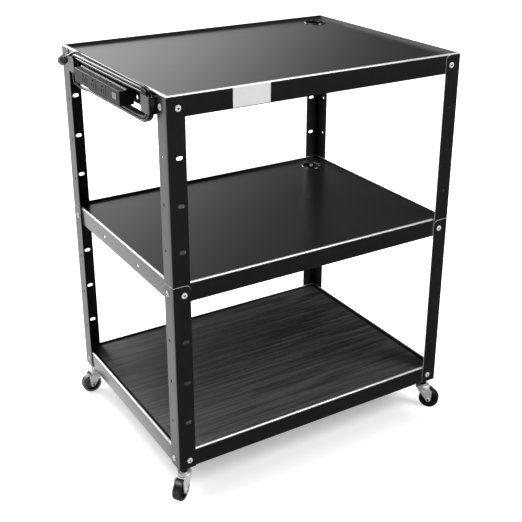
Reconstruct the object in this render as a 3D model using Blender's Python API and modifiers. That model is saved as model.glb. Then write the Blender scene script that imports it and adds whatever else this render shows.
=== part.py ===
"""A three-shelf steel cart for audio visual equipment, with a power strip and its wound cord.

Axes: X runs along the front of the cart, Y runs from front to back, Z is up from the floor.
Every length is in metres. The cart's own centre line stands at the empty named cart.
"""

import math

import bmesh
import bpy
import numpy as np
from mathutils import Matrix, Vector

# Overall frame
WIDTH = 0.8128
DEPTH = 0.6096
LEG_BOTTOM = 0.0900
LEG_SEAM = 0.4975
FIT_GAP = 0.0003
OVERRUN = 0.0040
SHARP_ANGLE = math.radians(35)

# Angle legs
LEG_FLANGE = 0.0445
LEG_THICKNESS = 0.0018
LEG_CORNER_RADIUS = 0.0130
LEG_HOLE_INSET = 0.0280
LEG_HOLE_PITCH_SHARE = 0.2517
LEG_HOLE_COUNT = 3
LEG_SLOT_LENGTH = 0.0160
LEG_SLOT_WIDTH = 0.0090
LEG_HOLE_DIAMETER = 0.0070
TONGUE_LENGTH = 0.0425
JOGGLE_HEIGHT = 0.0060

# Bolts that hold the legs to the shelves
BOLT_HEIGHT = 0.0215
BOLT_SHANK_DIAMETER = 0.0060
BOLT_HOLE_DIAMETER = 0.0072
BOLT_HEAD_DIAMETER = 0.0145
BOLT_HEAD_HEIGHT = 0.0028
BOLT_CROWN_DIAMETER = 0.0090
BOLT_BITE = 0.0005
NUT_DIAMETER = 0.0110
NUT_HEIGHT = 0.0050
BOLT_SIDES = 8

# Shelf pans
SHELF_HEIGHT = 0.0500
SHELF_THICKNESS = 0.0014
LIP_WIDTH = 0.0036
LIP_DEPTH = 0.0065
HEM_WIDTH = 0.0075
BOTTOM_FLANGE = 0.0
TOP_FLANGE = 0.8910
SEAM_OVER_MIDDLE = 0.0455
LEG_OVER_TOP = 0.0475
SIDE_HOLE_DIAMETER = 0.0080
SIDE_HOLE_SPACING = 0.2050
SPARE_HOLE_DIAMETER = 0.0090
SPARE_HOLE_MARGIN = 0.0105

# Cable holes and their grommets
CABLE_HOLE_DIAMETER = 0.0570
CABLE_HOLE_INSET = 0.0660
GROMMET_FLANGE_WIDTH = 0.0040
GROMMET_FLANGE_HEIGHT = 0.0020
GROMMET_WALL = 0.0020
GROMMET_SNAP = 0.0010
GROMMET_SIDES = 24

# Ribbed mat on the bottom shelf
MAT_CLEARANCE = 0.0020
MAT_THICKNESS = 0.0020

# Blank label plate on the front flange
PLATE_LENGTH = 0.0960
PLATE_HEIGHT = 0.0450
PLATE_THICKNESS = 0.0008
PLATE_OFFSET = 0.1970

# Corner brackets that carry the casters
BRACKET_SIZE = 0.0440
BRACKET_PLATE = 0.0030
BRACKET_TAB = 0.0020
BRACKET_TAB_HEIGHT = 0.0330
STEM_HOLE_DIAMETER = 0.0104

# Swivel casters
STEM_INSET = 0.0220
TRAIL = 0.0200
WHEEL_DIAMETER = 0.0560
WHEEL_WIDTH = 0.0220
TYRE_DEPTH = 0.0070
TYRE_EDGE = 0.0020
TYRE_ROUND_SHARE = 0.3
HUB_WIDTH = 0.0200
HUB_BORE_DIAMETER = 0.0066
HUB_WEB = 0.0070
HUB_BOSS_DIAMETER = 0.0150
CROWN_CLEARANCE = 0.0025
CROWN_THICKNESS = 0.0025
CROWN_RADIUS = 0.0195
CROWN_REACH = 0.0200
CROWN_HOLE_DIAMETER = 0.0104
FORK_INNER_WIDTH = 0.0248
FORK_THICKNESS = 0.0022
FORK_HEEL = 0.0100
FORK_TOE = 0.0290
FORK_SHOULDER = 0.0080
FORK_BOSS_RADIUS = 0.0075
AXLE_DIAMETER = 0.0060
AXLE_HOLE_DIAMETER = 0.0066
AXLE_HEAD_DIAMETER = 0.0110
AXLE_HEAD_HEIGHT = 0.0025
BALL_RING_HEIGHT = 0.0030
BALL_RING_OUTER = 0.0165
RACE_RADIUS = 0.0195
RACE_HEIGHT = 0.0040
STEM_DIAMETER = 0.0098
STEM_COLLAR_DIAMETER = 0.0180
STEM_NUT_DIAMETER = 0.0170
STEM_NUT_HEIGHT = 0.0060
STEM_TAIL = 0.0040
RIVET_HEAD_DIAMETER = 0.0140
RIVET_HEAD_HEIGHT = 0.0016
WHEEL_SIDES = 24
TURNED_SIDES = 12

# Power strip
STRIP_HEIGHT = 0.0370
STRIP_DEPTH = 0.0350
STRIP_STANDOFF = 0.0030
STRIP_FROM_FRONT_BRACKET = 0.1135
STRIP_FROM_BACK_BRACKET = 0.0935
STRIP_DROP = 0.0035
STRIP_WALL = 0.0018
STRIP_STEP_DEPTH = 0.0170
STRIP_STEP_HEIGHT = 0.0030
END_CAP = 0.0035
OUTLET_COUNT = 3
OUTLET_PITCH_SHARE = 0.2174
OUTLET_FIRST_SHARE = 0.2148
OUTLET_LENGTH = 0.0340
OUTLET_HEIGHT = 0.0250
OUTLET_DEPTH = 0.0120
OUTLET_PROUD = 0.0006
SOCKET_DEPTH = 0.0085
GROUND_DIAMETER = 0.0048
GROUND_RISE = 0.0066
BLADE_HEIGHT = 0.0082
BLADE_WIDTH = 0.0020
BLADE_SPREAD = 0.0127
BLADE_DROP = 0.0036
USB_COUNT = 2
USB_PITCH = 0.0120
USB_FROM_END_SHARE = 0.0500
USB_LENGTH = 0.0280
USB_HEIGHT = 0.0180
USB_SLOT_HEIGHT = 0.0120
USB_SLOT_WIDTH = 0.0015
USB_TONGUE = 0.0020
BUS_BAR_THICKNESS = 0.0010
BUS_BAR_HEIGHT = 0.0050
BUS_BAR_PITCH = 0.0080
STRIP_SCREW_SPACING_SHARE = 0.7593
STRIP_SCREW_DIAMETER = 0.0044
STRIP_SCREW_HOLE = 0.0052
STRIP_SCREW_HEAD = 0.0085
STRIP_SCREW_HEAD_HEIGHT = 0.0020

# Cord brackets
CORD_BRACKET_FRONT_INSET = 0.0458
CORD_BRACKET_BACK_INSET = 0.0868
CORD_BRACKET_LENGTH = 0.0410
CORD_BRACKET_HEIGHT = 0.0380
CORD_BRACKET_RISE = 0.0020
CORD_BRACKET_SHEET = 0.0015
CORD_CHANNEL = 0.0165
CORD_NOTCH_WIDTH = 0.0084
CORD_NOTCH_DEPTH = 0.0060
CORD_NOTCH_OUT = 0.0132
RIVET_DIAMETER = 0.0044
RIVET_HOLE_DIAMETER = 0.0052

# Cord, wound round the power strip between the two cord brackets
CORD_DIAMETER = 0.0072
CORD_ROW_PITCH = 0.0082
CORD_LAYER_PITCH = 0.0080
CORD_CLEARANCE = 0.0012
CORD_SIDE_CLEARANCE = 0.0005
CORD_TURNS = 3.9
CORD_START_INSET = 0.0482
CORD_END_SHARE = 0.80
RUN_SHARE = 0.40
BEND_SHARE = 0.10
CLIMB_START_SHARE = 0.70
CLIMB_TURN_SHARE = 0.50
RUN_POINTS = 4
BEND_POINTS = 8
GLAND_DIAMETER = 0.0156
GLAND_COLLAR = 0.0040
GLAND_SHOULDER_DIAMETER = 0.0125
GLAND_LENGTH = 0.0200
GLAND_MOUTH_DIAMETER = 0.0104
GLAND_HOLE_DIAMETER = 0.0108
GLAND_NECK_DIAMETER = 0.0102
GLAND_FLANGE_DIAMETER = 0.0130
GLAND_FLANGE_HEIGHT = 0.0012

# Plug, parked beyond the back cord bracket with its blades pointing back and down
PLUG_TILT = math.radians(26)
PLUG_OUT = 0.0165
PLUG_BACK = 0.0180
PLUG_RISE = 0.0312
PLUG_NECK_DIAMETER = 0.0096
PLUG_NECK_LENGTH = 0.0120
PLUG_BODY_DIAMETER = 0.0245
PLUG_BODY_LENGTH = 0.0220
PLUG_SHOULDER = 0.0040
PLUG_SHOULDER_DIAMETER = 0.0145
PLUG_CHAMFER = 0.0012
PLUG_PIN_LENGTH = 0.0160
PLUG_BLADE_WIDTH = 0.0064
PLUG_BLADE_THICKNESS = 0.0016
PLUG_GROUND_DIAMETER = 0.0048

# Chosen points of the free stretches as (out from the shelf, towards the back, up) in cord diameters:
# the first from the gland's mouth, the second from the winding's start, the third from the plug's neck
LEAD_IN_SHARES = (
    (0.0, 0.0, 0.0),
    (0.0, 1.0, 0.0),
    (0.08, 2.9, -0.79),
    (0.28, 3.69, -2.69),
    (0.28, 2.9, -4.6),
)
LEAD_IN_TAIL_SHARES = (
    (0.72, 9.4, 0.0),
    (0.45, 6.6, -0.35),
    (0.12, 3.4, -0.2),
    (0.0, 1.0, 0.0),
    (0.0, 0.0, 0.0),
)
LEAD_OUT_SHARES = (
    (-1.4, -13.0, 3.15),
    (-1.11, -8.74, 3.3),
    (-0.76, -5.35, 2.4),
    (-0.46, -2.6, 1.15),
)
POINT_STEP_SHARE = 2.0

# Directions that the four casters trail in, from +X towards +Y
FRONT_LEFT_TRAIL = math.radians(215)
FRONT_RIGHT_TRAIL = math.radians(-49)
BACK_LEFT_TRAIL = math.radians(180)
BACK_RIGHT_TRAIL = -FRONT_RIGHT_TRAIL

CORNERS = {
    "front_left": (-1, -1),
    "front_right": (1, -1),
    "back_left": (-1, 1),
    "back_right": (1, 1),
}
TRAILS = {
    "front_left": FRONT_LEFT_TRAIL,
    "front_right": FRONT_RIGHT_TRAIL,
    "back_left": BACK_LEFT_TRAIL,
    "back_right": BACK_RIGHT_TRAIL,
}

# Sizes that follow from the ones above
LEG_TOP = LEG_BOTTOM + TOP_FLANGE + LEG_OVER_TOP
SEAM = LEG_BOTTOM + LEG_SEAM
MIDDLE_FLANGE = LEG_SEAM - SEAM_OVER_MIDDLE
LEG_HOLE_PITCH = LEG_HOLE_PITCH_SHARE * min(MIDDLE_FLANGE - BOTTOM_FLANGE, TOP_FLANGE - MIDDLE_FLANGE)
SHELF_INSET = LEG_THICKNESS + FIT_GAP
WALL = WIDTH / 2 - SHELF_INSET
FLANGE_Z = {
    "bottom": LEG_BOTTOM + BOTTOM_FLANGE,
    "middle": LEG_BOTTOM + MIDDLE_FLANGE,
    "top": LEG_BOTTOM + TOP_FLANGE,
}
DECK_RISE = SHELF_HEIGHT - LIP_DEPTH
WHEEL_RADIUS = WHEEL_DIAMETER / 2
CROWN_Z = WHEEL_DIAMETER + CROWN_CLEARANCE
CROWN_TOP = CROWN_Z + CROWN_THICKNESS
BRACKET_Z = LEG_BOTTOM + SHELF_THICKNESS + FIT_GAP
CORD_BRACKET_FRONT = CORD_BRACKET_FRONT_INSET - DEPTH / 2
CORD_BRACKET_BACK = DEPTH / 2 - CORD_BRACKET_BACK_INSET
STRIP_ENDS = (CORD_BRACKET_FRONT + STRIP_FROM_FRONT_BRACKET, CORD_BRACKET_BACK - STRIP_FROM_BACK_BRACKET)
STRIP_LENGTH = STRIP_ENDS[1] - STRIP_ENDS[0]
STRIP_CENTRE = (STRIP_ENDS[0] + STRIP_ENDS[1]) / 2
STRIP_SCREW_SPACING = STRIP_LENGTH * STRIP_SCREW_SPACING_SHARE
SPARE_HOLE_SPACING = STRIP_LENGTH + 2 * SPARE_HOLE_MARGIN
OUTLET_PITCH = STRIP_LENGTH * OUTLET_PITCH_SHARE
OUTLET_FIRST = STRIP_LENGTH * OUTLET_FIRST_SHARE
USB_FROM_END = STRIP_LENGTH * USB_FROM_END_SHARE
STRIP_Z = FLANGE_Z["top"] - STRIP_DROP
STRIP_MIDDLE = STRIP_Z + STRIP_HEIGHT / 2
STRIP_BACK = WALL + STRIP_STANDOFF
STRIP_FACE = STRIP_BACK + STRIP_DEPTH
CORD_RADIUS = CORD_DIAMETER / 2
CORD_INNER_LAYER = WALL + FIT_GAP + CORD_BRACKET_SHEET + CORD_SIDE_CLEARANCE + CORD_RADIUS
CORD_OUTER_LAYER = CORD_INNER_LAYER + CORD_LAYER_PITCH
CORD_INNER_BEND = STRIP_HEIGHT / 2 + CORD_CLEARANCE + CORD_RADIUS
CORD_OUTER_BEND = CORD_INNER_BEND + CORD_ROW_PITCH * CORD_TURNS / 2
CORD_REACH = CORD_BRACKET_SHEET + CORD_SIDE_CLEARANCE + CORD_RADIUS + CORD_OUTER_BEND
CORD_FRONT = CORD_BRACKET_FRONT + CORD_REACH
CORD_BACK = CORD_BRACKET_BACK - CORD_REACH
CORD_START = RUN_SHARE * (CORD_BACK - STRIP_ENDS[1] + CORD_START_INSET) / (CORD_BACK - CORD_FRONT)


def overhang(angle):
    """Return how far a caster's tyre reaches past its stem along +X when it trails in this direction."""
    along = (WHEEL_RADIUS - TYRE_EDGE) * abs(math.cos(angle))
    across = (WHEEL_WIDTH / 2 - TYRE_EDGE) * abs(math.sin(angle))
    return TRAIL * math.cos(angle) + along + across + TYRE_EDGE


LEFT_REACH = STRIP_FACE + OUTLET_PROUD
RIGHT_REACH = WIDTH / 2 - STEM_INSET + overhang(FRONT_RIGHT_TRAIL)
CENTRE_X = (LEFT_REACH - RIGHT_REACH) / 2


# Scene and materials


def clear_scene():
    """Remove every object that the file opens with."""
    for obj in list(bpy.data.objects):
        bpy.data.objects.remove(obj, do_unlink=True)


def new_collection(name):
    """Make a collection under the scene's own one."""
    collection = bpy.data.collections.new(name)
    bpy.context.scene.collection.children.link(collection)
    return collection


def new_material(name, colour, roughness, metallic):
    """Make a Principled material from a colour, a roughness and a metallic value."""
    material = bpy.data.materials.new(name)
    material.use_nodes = True
    shader = material.node_tree.nodes["Principled BSDF"]
    shader.inputs["Base Color"].default_value = (*colour, 1.0)
    shader.inputs["Roughness"].default_value = roughness
    shader.inputs["Metallic"].default_value = metallic
    material.diffuse_color = (*colour, 1.0)
    return material


FINISHES = {
    "powder_coat": ((0.020, 0.020, 0.021), 0.42, 0.0),
    "shelf_coat": ((0.026, 0.026, 0.027), 0.36, 0.0),
    "mat_rubber": ((0.035, 0.035, 0.036), 0.80, 0.0),
    "zinc": ((0.62, 0.62, 0.64), 0.28, 1.0),
    "tyre_rubber": ((0.015, 0.015, 0.015), 0.55, 0.0),
    "hub_plastic": ((0.030, 0.030, 0.030), 0.45, 0.0),
    "strip_housing": ((0.050, 0.050, 0.052), 0.40, 0.6),
    "black_plastic": ((0.018, 0.018, 0.018), 0.50, 0.0),
    "usb_plastic": ((0.80, 0.80, 0.80), 0.45, 0.0),
    "brass": ((0.70, 0.50, 0.22), 0.30, 1.0),
    "cord_jacket": ((0.022, 0.022, 0.022), 0.45, 0.0),
    "plate_white": ((0.85, 0.85, 0.84), 0.45, 0.0),
}


# Shapes


def evaluated_mesh(obj):
    """Return the mesh that an object's modifiers or curve give, and remove the object."""
    graph = bpy.context.evaluated_depsgraph_get()
    mesh = bpy.data.meshes.new_from_object(obj.evaluated_get(graph))
    bpy.data.objects.remove(obj, do_unlink=True)
    return mesh


def outline_mesh(outlines, thickness):
    """Fill closed outlines in the XY plane, the later ones as holes, to a plate about Z = 0."""
    curve = bpy.data.curves.new("outline", "CURVE")
    curve.dimensions = "2D"
    curve.fill_mode = "BOTH"
    curve.extrude = thickness / 2
    for points in outlines:
        spline = curve.splines.new("POLY")
        spline.points.add(len(points) - 1)
        for point, (x, y) in zip(spline.points, points):
            point.co = (x, y, 0.0, 1.0)
        spline.use_cyclic_u = True
    obj = bpy.data.objects.new("outline", curve)
    bpy.context.scene.collection.objects.link(obj)
    mesh = evaluated_mesh(obj)
    bpy.data.curves.remove(curve)
    shape = bmesh.new()
    shape.from_mesh(mesh)
    bmesh.ops.remove_doubles(shape, verts=shape.verts, dist=FIT_GAP / 100)
    bmesh.ops.recalc_face_normals(shape, faces=shape.faces)
    shape.to_mesh(mesh)
    shape.free()
    return mesh


def turned_mesh(profile, sides, closed=False):
    """Turn a profile of (radius, height) points about Z, its outer side read from top to bottom."""
    mesh = bpy.data.meshes.new("profile")
    points = [(radius, 0.0, height) for radius, height in profile]
    edges = [(i, i + 1) for i in range(len(points) - 1)]
    if closed:
        edges.append((len(points) - 1, 0))
    mesh.from_pydata(points, edges, [])
    obj = bpy.data.objects.new("profile", mesh)
    bpy.context.scene.collection.objects.link(obj)
    screw = obj.modifiers.new("Screw", "SCREW")
    screw.steps = sides
    screw.render_steps = sides
    screw.use_merge_vertices = True
    screw.merge_threshold = FIT_GAP / 30
    return evaluated_mesh(obj)


def turned(name, profile, sides, closed=False):
    """Make a turned object, round faces shaded smooth and real edges kept sharp."""
    mesh = turned_mesh(profile, sides, closed)
    mesh.shade_smooth()
    mesh.set_sharp_from_angle(angle=SHARP_ANGLE)
    obj = bpy.data.objects.new(name, mesh)
    bpy.context.scene.collection.objects.link(obj)
    return obj


def arc(centre, radius, start, end, count):
    """Return points along an arc, given in degrees, both ends included."""
    angles = np.radians(np.linspace(start, end, count))
    return [(centre[0] + radius * math.cos(a), centre[1] + radius * math.sin(a)) for a in angles]


def smooth_through(points, step):
    """Return points about one step apart on a Catmull-Rom curve through the given points."""
    knots = np.array(points)
    first = 2 * knots[0] - knots[1]
    last = 2 * knots[-1] - knots[-2]
    padded = np.vstack([first, knots, last])
    result = []
    for i in range(1, len(padded) - 2):
        a, b, c, d = padded[i - 1 : i + 3]
        count = max(1, round(float(np.linalg.norm(c - b)) / step))
        for t in np.arange(count) / count:
            linear = (c - a) * t
            square = (2 * a - 5 * b + 4 * c - d) * t**2
            cube = (3 * b - a - 3 * c + d) * t**3
            result.append((2 * b + linear + square + cube) / 2)
    result.append(knots[-1])
    return np.array(result)


class Shape:
    """Primitives gathered in one mesh."""

    def __init__(self):
        self.mesh = bmesh.new()

    def box(self, low, high):
        """Add a box between two corners."""
        size = [b - a for a, b in zip(low, high)]
        middle = [(a + b) / 2 for a, b in zip(low, high)]
        matrix = Matrix.Translation(middle) @ Matrix.Diagonal((*size, 1.0))
        bmesh.ops.create_cube(self.mesh, size=1.0, matrix=matrix)
        return self

    def rod(self, start, end, diameter, sides):
        """Add a cylinder between two points."""
        start, end = Vector(start), Vector(end)
        along = end - start
        turn = along.to_track_quat("Z", "Y").to_matrix().to_4x4()
        matrix = Matrix.Translation((start + end) / 2) @ turn
        bmesh.ops.create_cone(
            self.mesh,
            cap_ends=True,
            segments=sides,
            radius1=diameter / 2,
            radius2=diameter / 2,
            depth=along.length,
            matrix=matrix,
        )
        return self

    def add(self, mesh, matrix):
        """Add a copy of a mesh, and flip its faces where the matrix mirrors it."""
        before = set(self.mesh.faces)
        known = set(self.mesh.verts)
        self.mesh.from_mesh(mesh)
        verts = [v for v in self.mesh.verts if v not in known]
        bmesh.ops.transform(self.mesh, matrix=matrix, verts=verts)
        if matrix.determinant() < 0:
            bmesh.ops.reverse_faces(self.mesh, faces=[f for f in self.mesh.faces if f not in before])
        return self

    def mirrored(self, matrix):
        """Move the whole shape by a matrix that may mirror it."""
        bmesh.ops.transform(self.mesh, matrix=matrix, verts=self.mesh.verts)
        if matrix.determinant() < 0:
            bmesh.ops.reverse_faces(self.mesh, faces=self.mesh.faces)
        return self

    def object(self, name):
        """Write the shape to a new object."""
        mesh = bpy.data.meshes.new(name)
        self.mesh.to_mesh(mesh)
        self.mesh.free()
        obj = bpy.data.objects.new(name, mesh)
        bpy.context.scene.collection.objects.link(obj)
        return obj


class Cart:
    """The collections, the centre-line empty and the materials that every piece is put in."""

    def __init__(self):
        self.pieces = new_collection("audio_visual_cart")
        self.cutters = new_collection("cutters")
        self.materials = {name: new_material(name, *values) for name, values in FINISHES.items()}
        self.centre = self.empty("cart", (CENTRE_X, 0.0, 0.0), 0.0)

    def empty(self, name, place, turn, parent=None):
        """Add an empty that pieces are placed by."""
        empty = bpy.data.objects.new(name, None)
        empty.location = place
        empty.rotation_euler = (0.0, 0.0, turn)
        empty.parent = parent
        self.pieces.objects.link(empty)
        return empty

    def keep(self, obj, name, finish, parent=None):
        """File a finished piece under its name, its material and its parent."""
        obj.name = name
        obj.data.name = name
        obj.parent = parent or self.centre
        bpy.context.scene.collection.objects.unlink(obj)
        self.pieces.objects.link(obj)
        obj.data.materials.clear()
        obj.data.materials.append(self.materials[finish])
        return obj

    def tool(self, obj, name, parent=None):
        """File a Boolean operand, which isn't a piece."""
        obj.name = name
        obj.parent = parent or self.centre
        bpy.context.scene.collection.objects.unlink(obj)
        self.cutters.objects.link(obj)
        obj.hide_render = True
        obj.display_type = "WIRE"
        return obj

    def combine(self, obj, tool, operation, parent=None):
        """Cut a tool out of a piece, or join it on."""
        label = f"{obj.name}_{operation.lower()}_{len(obj.modifiers)}"
        modifier = obj.modifiers.new(label, "BOOLEAN")
        modifier.operation = operation
        modifier.object = self.tool(tool, label, parent)


# Shelves


def shelf(cart, name, level, inset, hole_sets, cable_hole):
    """Make a shelf pan: a deck below a raised lip, with hemmed flanges that the legs bolt to."""
    x, y = WIDTH / 2 - inset, DEPTH / 2 - inset
    base = FLANGE_Z[level]
    top = base + SHELF_HEIGHT
    deck = base + DECK_RISE
    thick = SHELF_THICKNESS
    pan = Shape().box((-x, -y, base), (x, y, top)).object(name)
    lip_x, lip_y = x - LIP_WIDTH, y - LIP_WIDTH
    tray = Shape().box((-lip_x, -lip_y, deck), (lip_x, lip_y, top + OVERRUN))
    cart.combine(pan, tray.object("tray"), "DIFFERENCE")
    in_x, in_y = x - thick, y - thick
    hollow = Shape().box((-in_x, -in_y, base + thick), (in_x, in_y, deck - thick))
    cart.combine(pan, hollow.object("hollow"), "DIFFERENCE")
    hem_x, hem_y = in_x - HEM_WIDTH, in_y - HEM_WIDTH
    mouth = Shape().box((-hem_x, -hem_y, base - OVERRUN), (hem_x, hem_y, base + thick + OVERRUN))
    cart.combine(pan, mouth.object("mouth"), "DIFFERENCE")
    bolt_x, bolt_y, bolt_z = WIDTH / 2 - LEG_HOLE_INSET, DEPTH / 2 - LEG_HOLE_INSET, base + BOLT_HEIGHT
    lengthways, crossways = Shape(), Shape()
    for side in (-1, 1):
        start, end = (side * bolt_x, -y - OVERRUN, bolt_z), (side * bolt_x, y + OVERRUN, bolt_z)
        lengthways.rod(start, end, BOLT_HOLE_DIAMETER, BOLT_SIDES)
        start, end = (-x - OVERRUN, side * bolt_y, bolt_z), (x + OVERRUN, side * bolt_y, bolt_z)
        crossways.rod(start, end, BOLT_HOLE_DIAMETER, BOLT_SIDES)
    for diameter, height, places in hole_sets:
        for place in places:
            start, end = (-x - OVERRUN, place, height), (-x + thick + OVERRUN, place, height)
            crossways.rod(start, end, diameter, BOLT_SIDES)
    cart.combine(pan, lengthways.object("lengthways"), "DIFFERENCE")
    cart.combine(pan, crossways.object("crossways"), "DIFFERENCE")
    if cable_hole:
        hole_x, hole_y = WIDTH / 2 - CABLE_HOLE_INSET, DEPTH / 2 - CABLE_HOLE_INSET
        start, end = (hole_x, hole_y, deck - OVERRUN), (hole_x, hole_y, deck + OVERRUN)
        hole = Shape().rod(start, end, CABLE_HOLE_DIAMETER, GROMMET_SIDES)
        cart.combine(pan, hole.object("cable_hole"), "DIFFERENCE")
    cart.keep(pan, name, "shelf_coat")


def pair(centre, spacing):
    """Return two places about a centre."""
    return (centre - spacing / 2, centre + spacing / 2)


def shelves(cart):
    """Make the three shelves."""
    rivets = (CORD_BRACKET_FRONT + CORD_BRACKET_LENGTH / 2, CORD_BRACKET_BACK - CORD_BRACKET_LENGTH / 2)
    top_sets = (
        (STRIP_SCREW_HOLE, STRIP_MIDDLE, pair(STRIP_CENTRE, STRIP_SCREW_SPACING)),
        (SPARE_HOLE_DIAMETER, STRIP_MIDDLE, pair(STRIP_CENTRE, SPARE_HOLE_SPACING)),
        (RIVET_HOLE_DIAMETER, FLANGE_Z["top"] + CORD_BRACKET_RISE + CORD_BRACKET_HEIGHT / 2, rivets),
    )
    side_height = FLANGE_Z["middle"] + BOLT_HEIGHT
    middle_sets = ((SIDE_HOLE_DIAMETER, side_height, pair(0.0, SIDE_HOLE_SPACING)),)
    shelf(cart, "top_shelf", "top", SHELF_INSET, top_sets, True)
    shelf(cart, "middle_shelf", "middle", 2 * SHELF_INSET, middle_sets, True)
    shelf(cart, "bottom_shelf", "bottom", SHELF_INSET, (), False)


def grommet(cart, name, level):
    """Make the snap-in ring that lines a cable hole."""
    deck = FLANGE_Z[level] + DECK_RISE
    neck = CABLE_HOLE_DIAMETER / 2 - FIT_GAP
    bore = neck - GROMMET_WALL
    under = deck - SHELF_THICKNESS - FIT_GAP
    rim = deck + FIT_GAP
    profile = (
        (bore, rim + GROMMET_FLANGE_HEIGHT),
        (neck + GROMMET_FLANGE_WIDTH - GROMMET_WALL / 2, rim + GROMMET_FLANGE_HEIGHT),
        (neck + GROMMET_FLANGE_WIDTH, rim),
        (neck, rim),
        (neck, under),
        (neck + GROMMET_SNAP, under - GROMMET_SNAP),
        (bore, under - GROMMET_SNAP),
    )
    ring = turned(name, profile, GROMMET_SIDES, closed=True)
    ring.location = (WIDTH / 2 - CABLE_HOLE_INSET, DEPTH / 2 - CABLE_HOLE_INSET, 0.0)
    cart.keep(ring, name, "black_plastic")


def mat(cart):
    """Lay the mat inside the bottom shelf's lip."""
    inset = SHELF_INSET + LIP_WIDTH + MAT_CLEARANCE
    x, y = WIDTH / 2 - inset, DEPTH / 2 - inset
    low = FLANGE_Z["bottom"] + DECK_RISE + FIT_GAP
    sheet = Shape().box((-x, -y, low), (x, y, low + MAT_THICKNESS)).object("mat")
    cart.keep(sheet, "bottom_shelf_mat", "mat_rubber")


def label_plate(cart):
    """Fix the blank plate on the top shelf's front flange."""
    back = -(DEPTH / 2 - SHELF_INSET) - FIT_GAP
    middle = FLANGE_Z["top"] + SHELF_HEIGHT / 2
    low = (-PLATE_OFFSET - PLATE_LENGTH / 2, back - PLATE_THICKNESS, middle - PLATE_HEIGHT / 2)
    high = (-PLATE_OFFSET + PLATE_LENGTH / 2, back, middle + PLATE_HEIGHT / 2)
    cart.keep(Shape().box(low, high).object("plate"), "label_plate", "plate_white")


# Legs, worked out at a corner whose own axes run inward from the leg's outer faces


def corner_matrix(sign_x, sign_y):
    """Return the matrix that takes a corner's inward (u, v, z) to the cart's axes."""
    place = Matrix.Translation((sign_x * WIDTH / 2, sign_y * DEPTH / 2, 0.0))
    return place @ Matrix.Diagonal((-sign_x, -sign_y, 1.0, 1.0))


def angle_outline(outer, inner, reach):
    """Return the plan of an angle whose faces lie at two insets and that reaches this far both ways."""
    return [(outer, outer), (reach, outer), (reach, inner), (inner, inner), (inner, reach), (outer, reach)]


def add_angle(shape, outer, inner, low, high):
    """Add an upright angle between two heights."""
    mesh = outline_mesh([angle_outline(outer, inner, LEG_FLANGE)], high - low)
    shape.add(mesh, Matrix.Translation((0.0, 0.0, (low + high) / 2)))


def slot_outline(length, width):
    """Return a slot with round ends, lengthways along X."""
    reach = length / 2 - width / 2
    sides = BOLT_SIDES // 2 + 1
    return arc((reach, 0.0), width / 2, -90, 90, sides) + arc((-reach, 0.0), width / 2, 90, 270, sides)


def upright(u_axis):
    """Return the matrix that stands a flat XY shape up, its X along u or v and its thickness across the flange."""
    if u_axis:
        return Matrix(((1, 0, 0, 0), (0, 0, -1, 0), (0, 1, 0, 0), (0, 0, 0, 1)))
    return Matrix(((0, 0, 1, 0), (1, 0, 0, 0), (0, 1, 0, 0), (0, 0, 0, 1)))


def leg_holes(shape, heights):
    """Add the cutters of a leg's slots, on the flange along u, and round holes, on the flange along v."""
    slot = outline_mesh([slot_outline(LEG_SLOT_LENGTH, LEG_SLOT_WIDTH)], 2 * OVERRUN)
    for height in heights:
        shape.add(slot, Matrix.Translation((LEG_HOLE_INSET, 0.0, height)) @ upright(True))
        start = (-OVERRUN, LEG_HOLE_INSET, height)
        shape.rod(start, (OVERRUN, LEG_HOLE_INSET, height), LEG_HOLE_DIAMETER, BOLT_SIDES)


def corner_cutters(shape, top):
    """Add the cutters that round off the free top corner of both flanges."""
    radius = LEG_CORNER_RADIUS
    middle = (LEG_FLANGE - radius, top - radius)
    round_off = arc(middle, radius, 0, 90, BOLT_SIDES // 2 + 1)
    outer = [(middle[0], top + OVERRUN), (LEG_FLANGE + OVERRUN, top + OVERRUN), (LEG_FLANGE + OVERRUN, middle[1])]
    mesh = outline_mesh([round_off + outer], 2 * OVERRUN)
    for u_axis in (True, False):
        shape.add(mesh, upright(u_axis))


def bolt_mesh(grip):
    """Return a bolt along Z with its head below zero, its shank through the grip and its nut beyond it."""
    shank, nut = BOLT_SHANK_DIAMETER / 2, NUT_DIAMETER / 2
    profile = (
        (0.0, grip + NUT_HEIGHT),
        (nut, grip + NUT_HEIGHT),
        (nut, grip),
        (shank, grip),
        (shank, BOLT_BITE),
        (BOLT_HEAD_DIAMETER / 2, BOLT_BITE),
        (BOLT_HEAD_DIAMETER / 2, -BOLT_HEAD_HEIGHT / 3),
        (BOLT_CROWN_DIAMETER / 2, -BOLT_HEAD_HEIGHT),
        (0.0, -BOLT_HEAD_HEIGHT),
    )
    return turned_mesh(profile, BOLT_SIDES)


def add_bolts(shape, height, grip):
    """Add one bolt through each flange of a corner, its nut past everything that the bolt holds."""
    bolt = bolt_mesh(grip)
    inward_v = Matrix(((1, 0, 0, 0), (0, 0, 1, 0), (0, -1, 0, 0), (0, 0, 0, 1)))
    inward_u = Matrix(((0, 0, 1, 0), (0, 1, 0, 0), (-1, 0, 0, 0), (0, 0, 0, 1)))
    shape.add(bolt, Matrix.Translation((LEG_HOLE_INSET, 0.0, height)) @ inward_v)
    shape.add(bolt, Matrix.Translation((0.0, LEG_HOLE_INSET, height)) @ inward_u)


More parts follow.
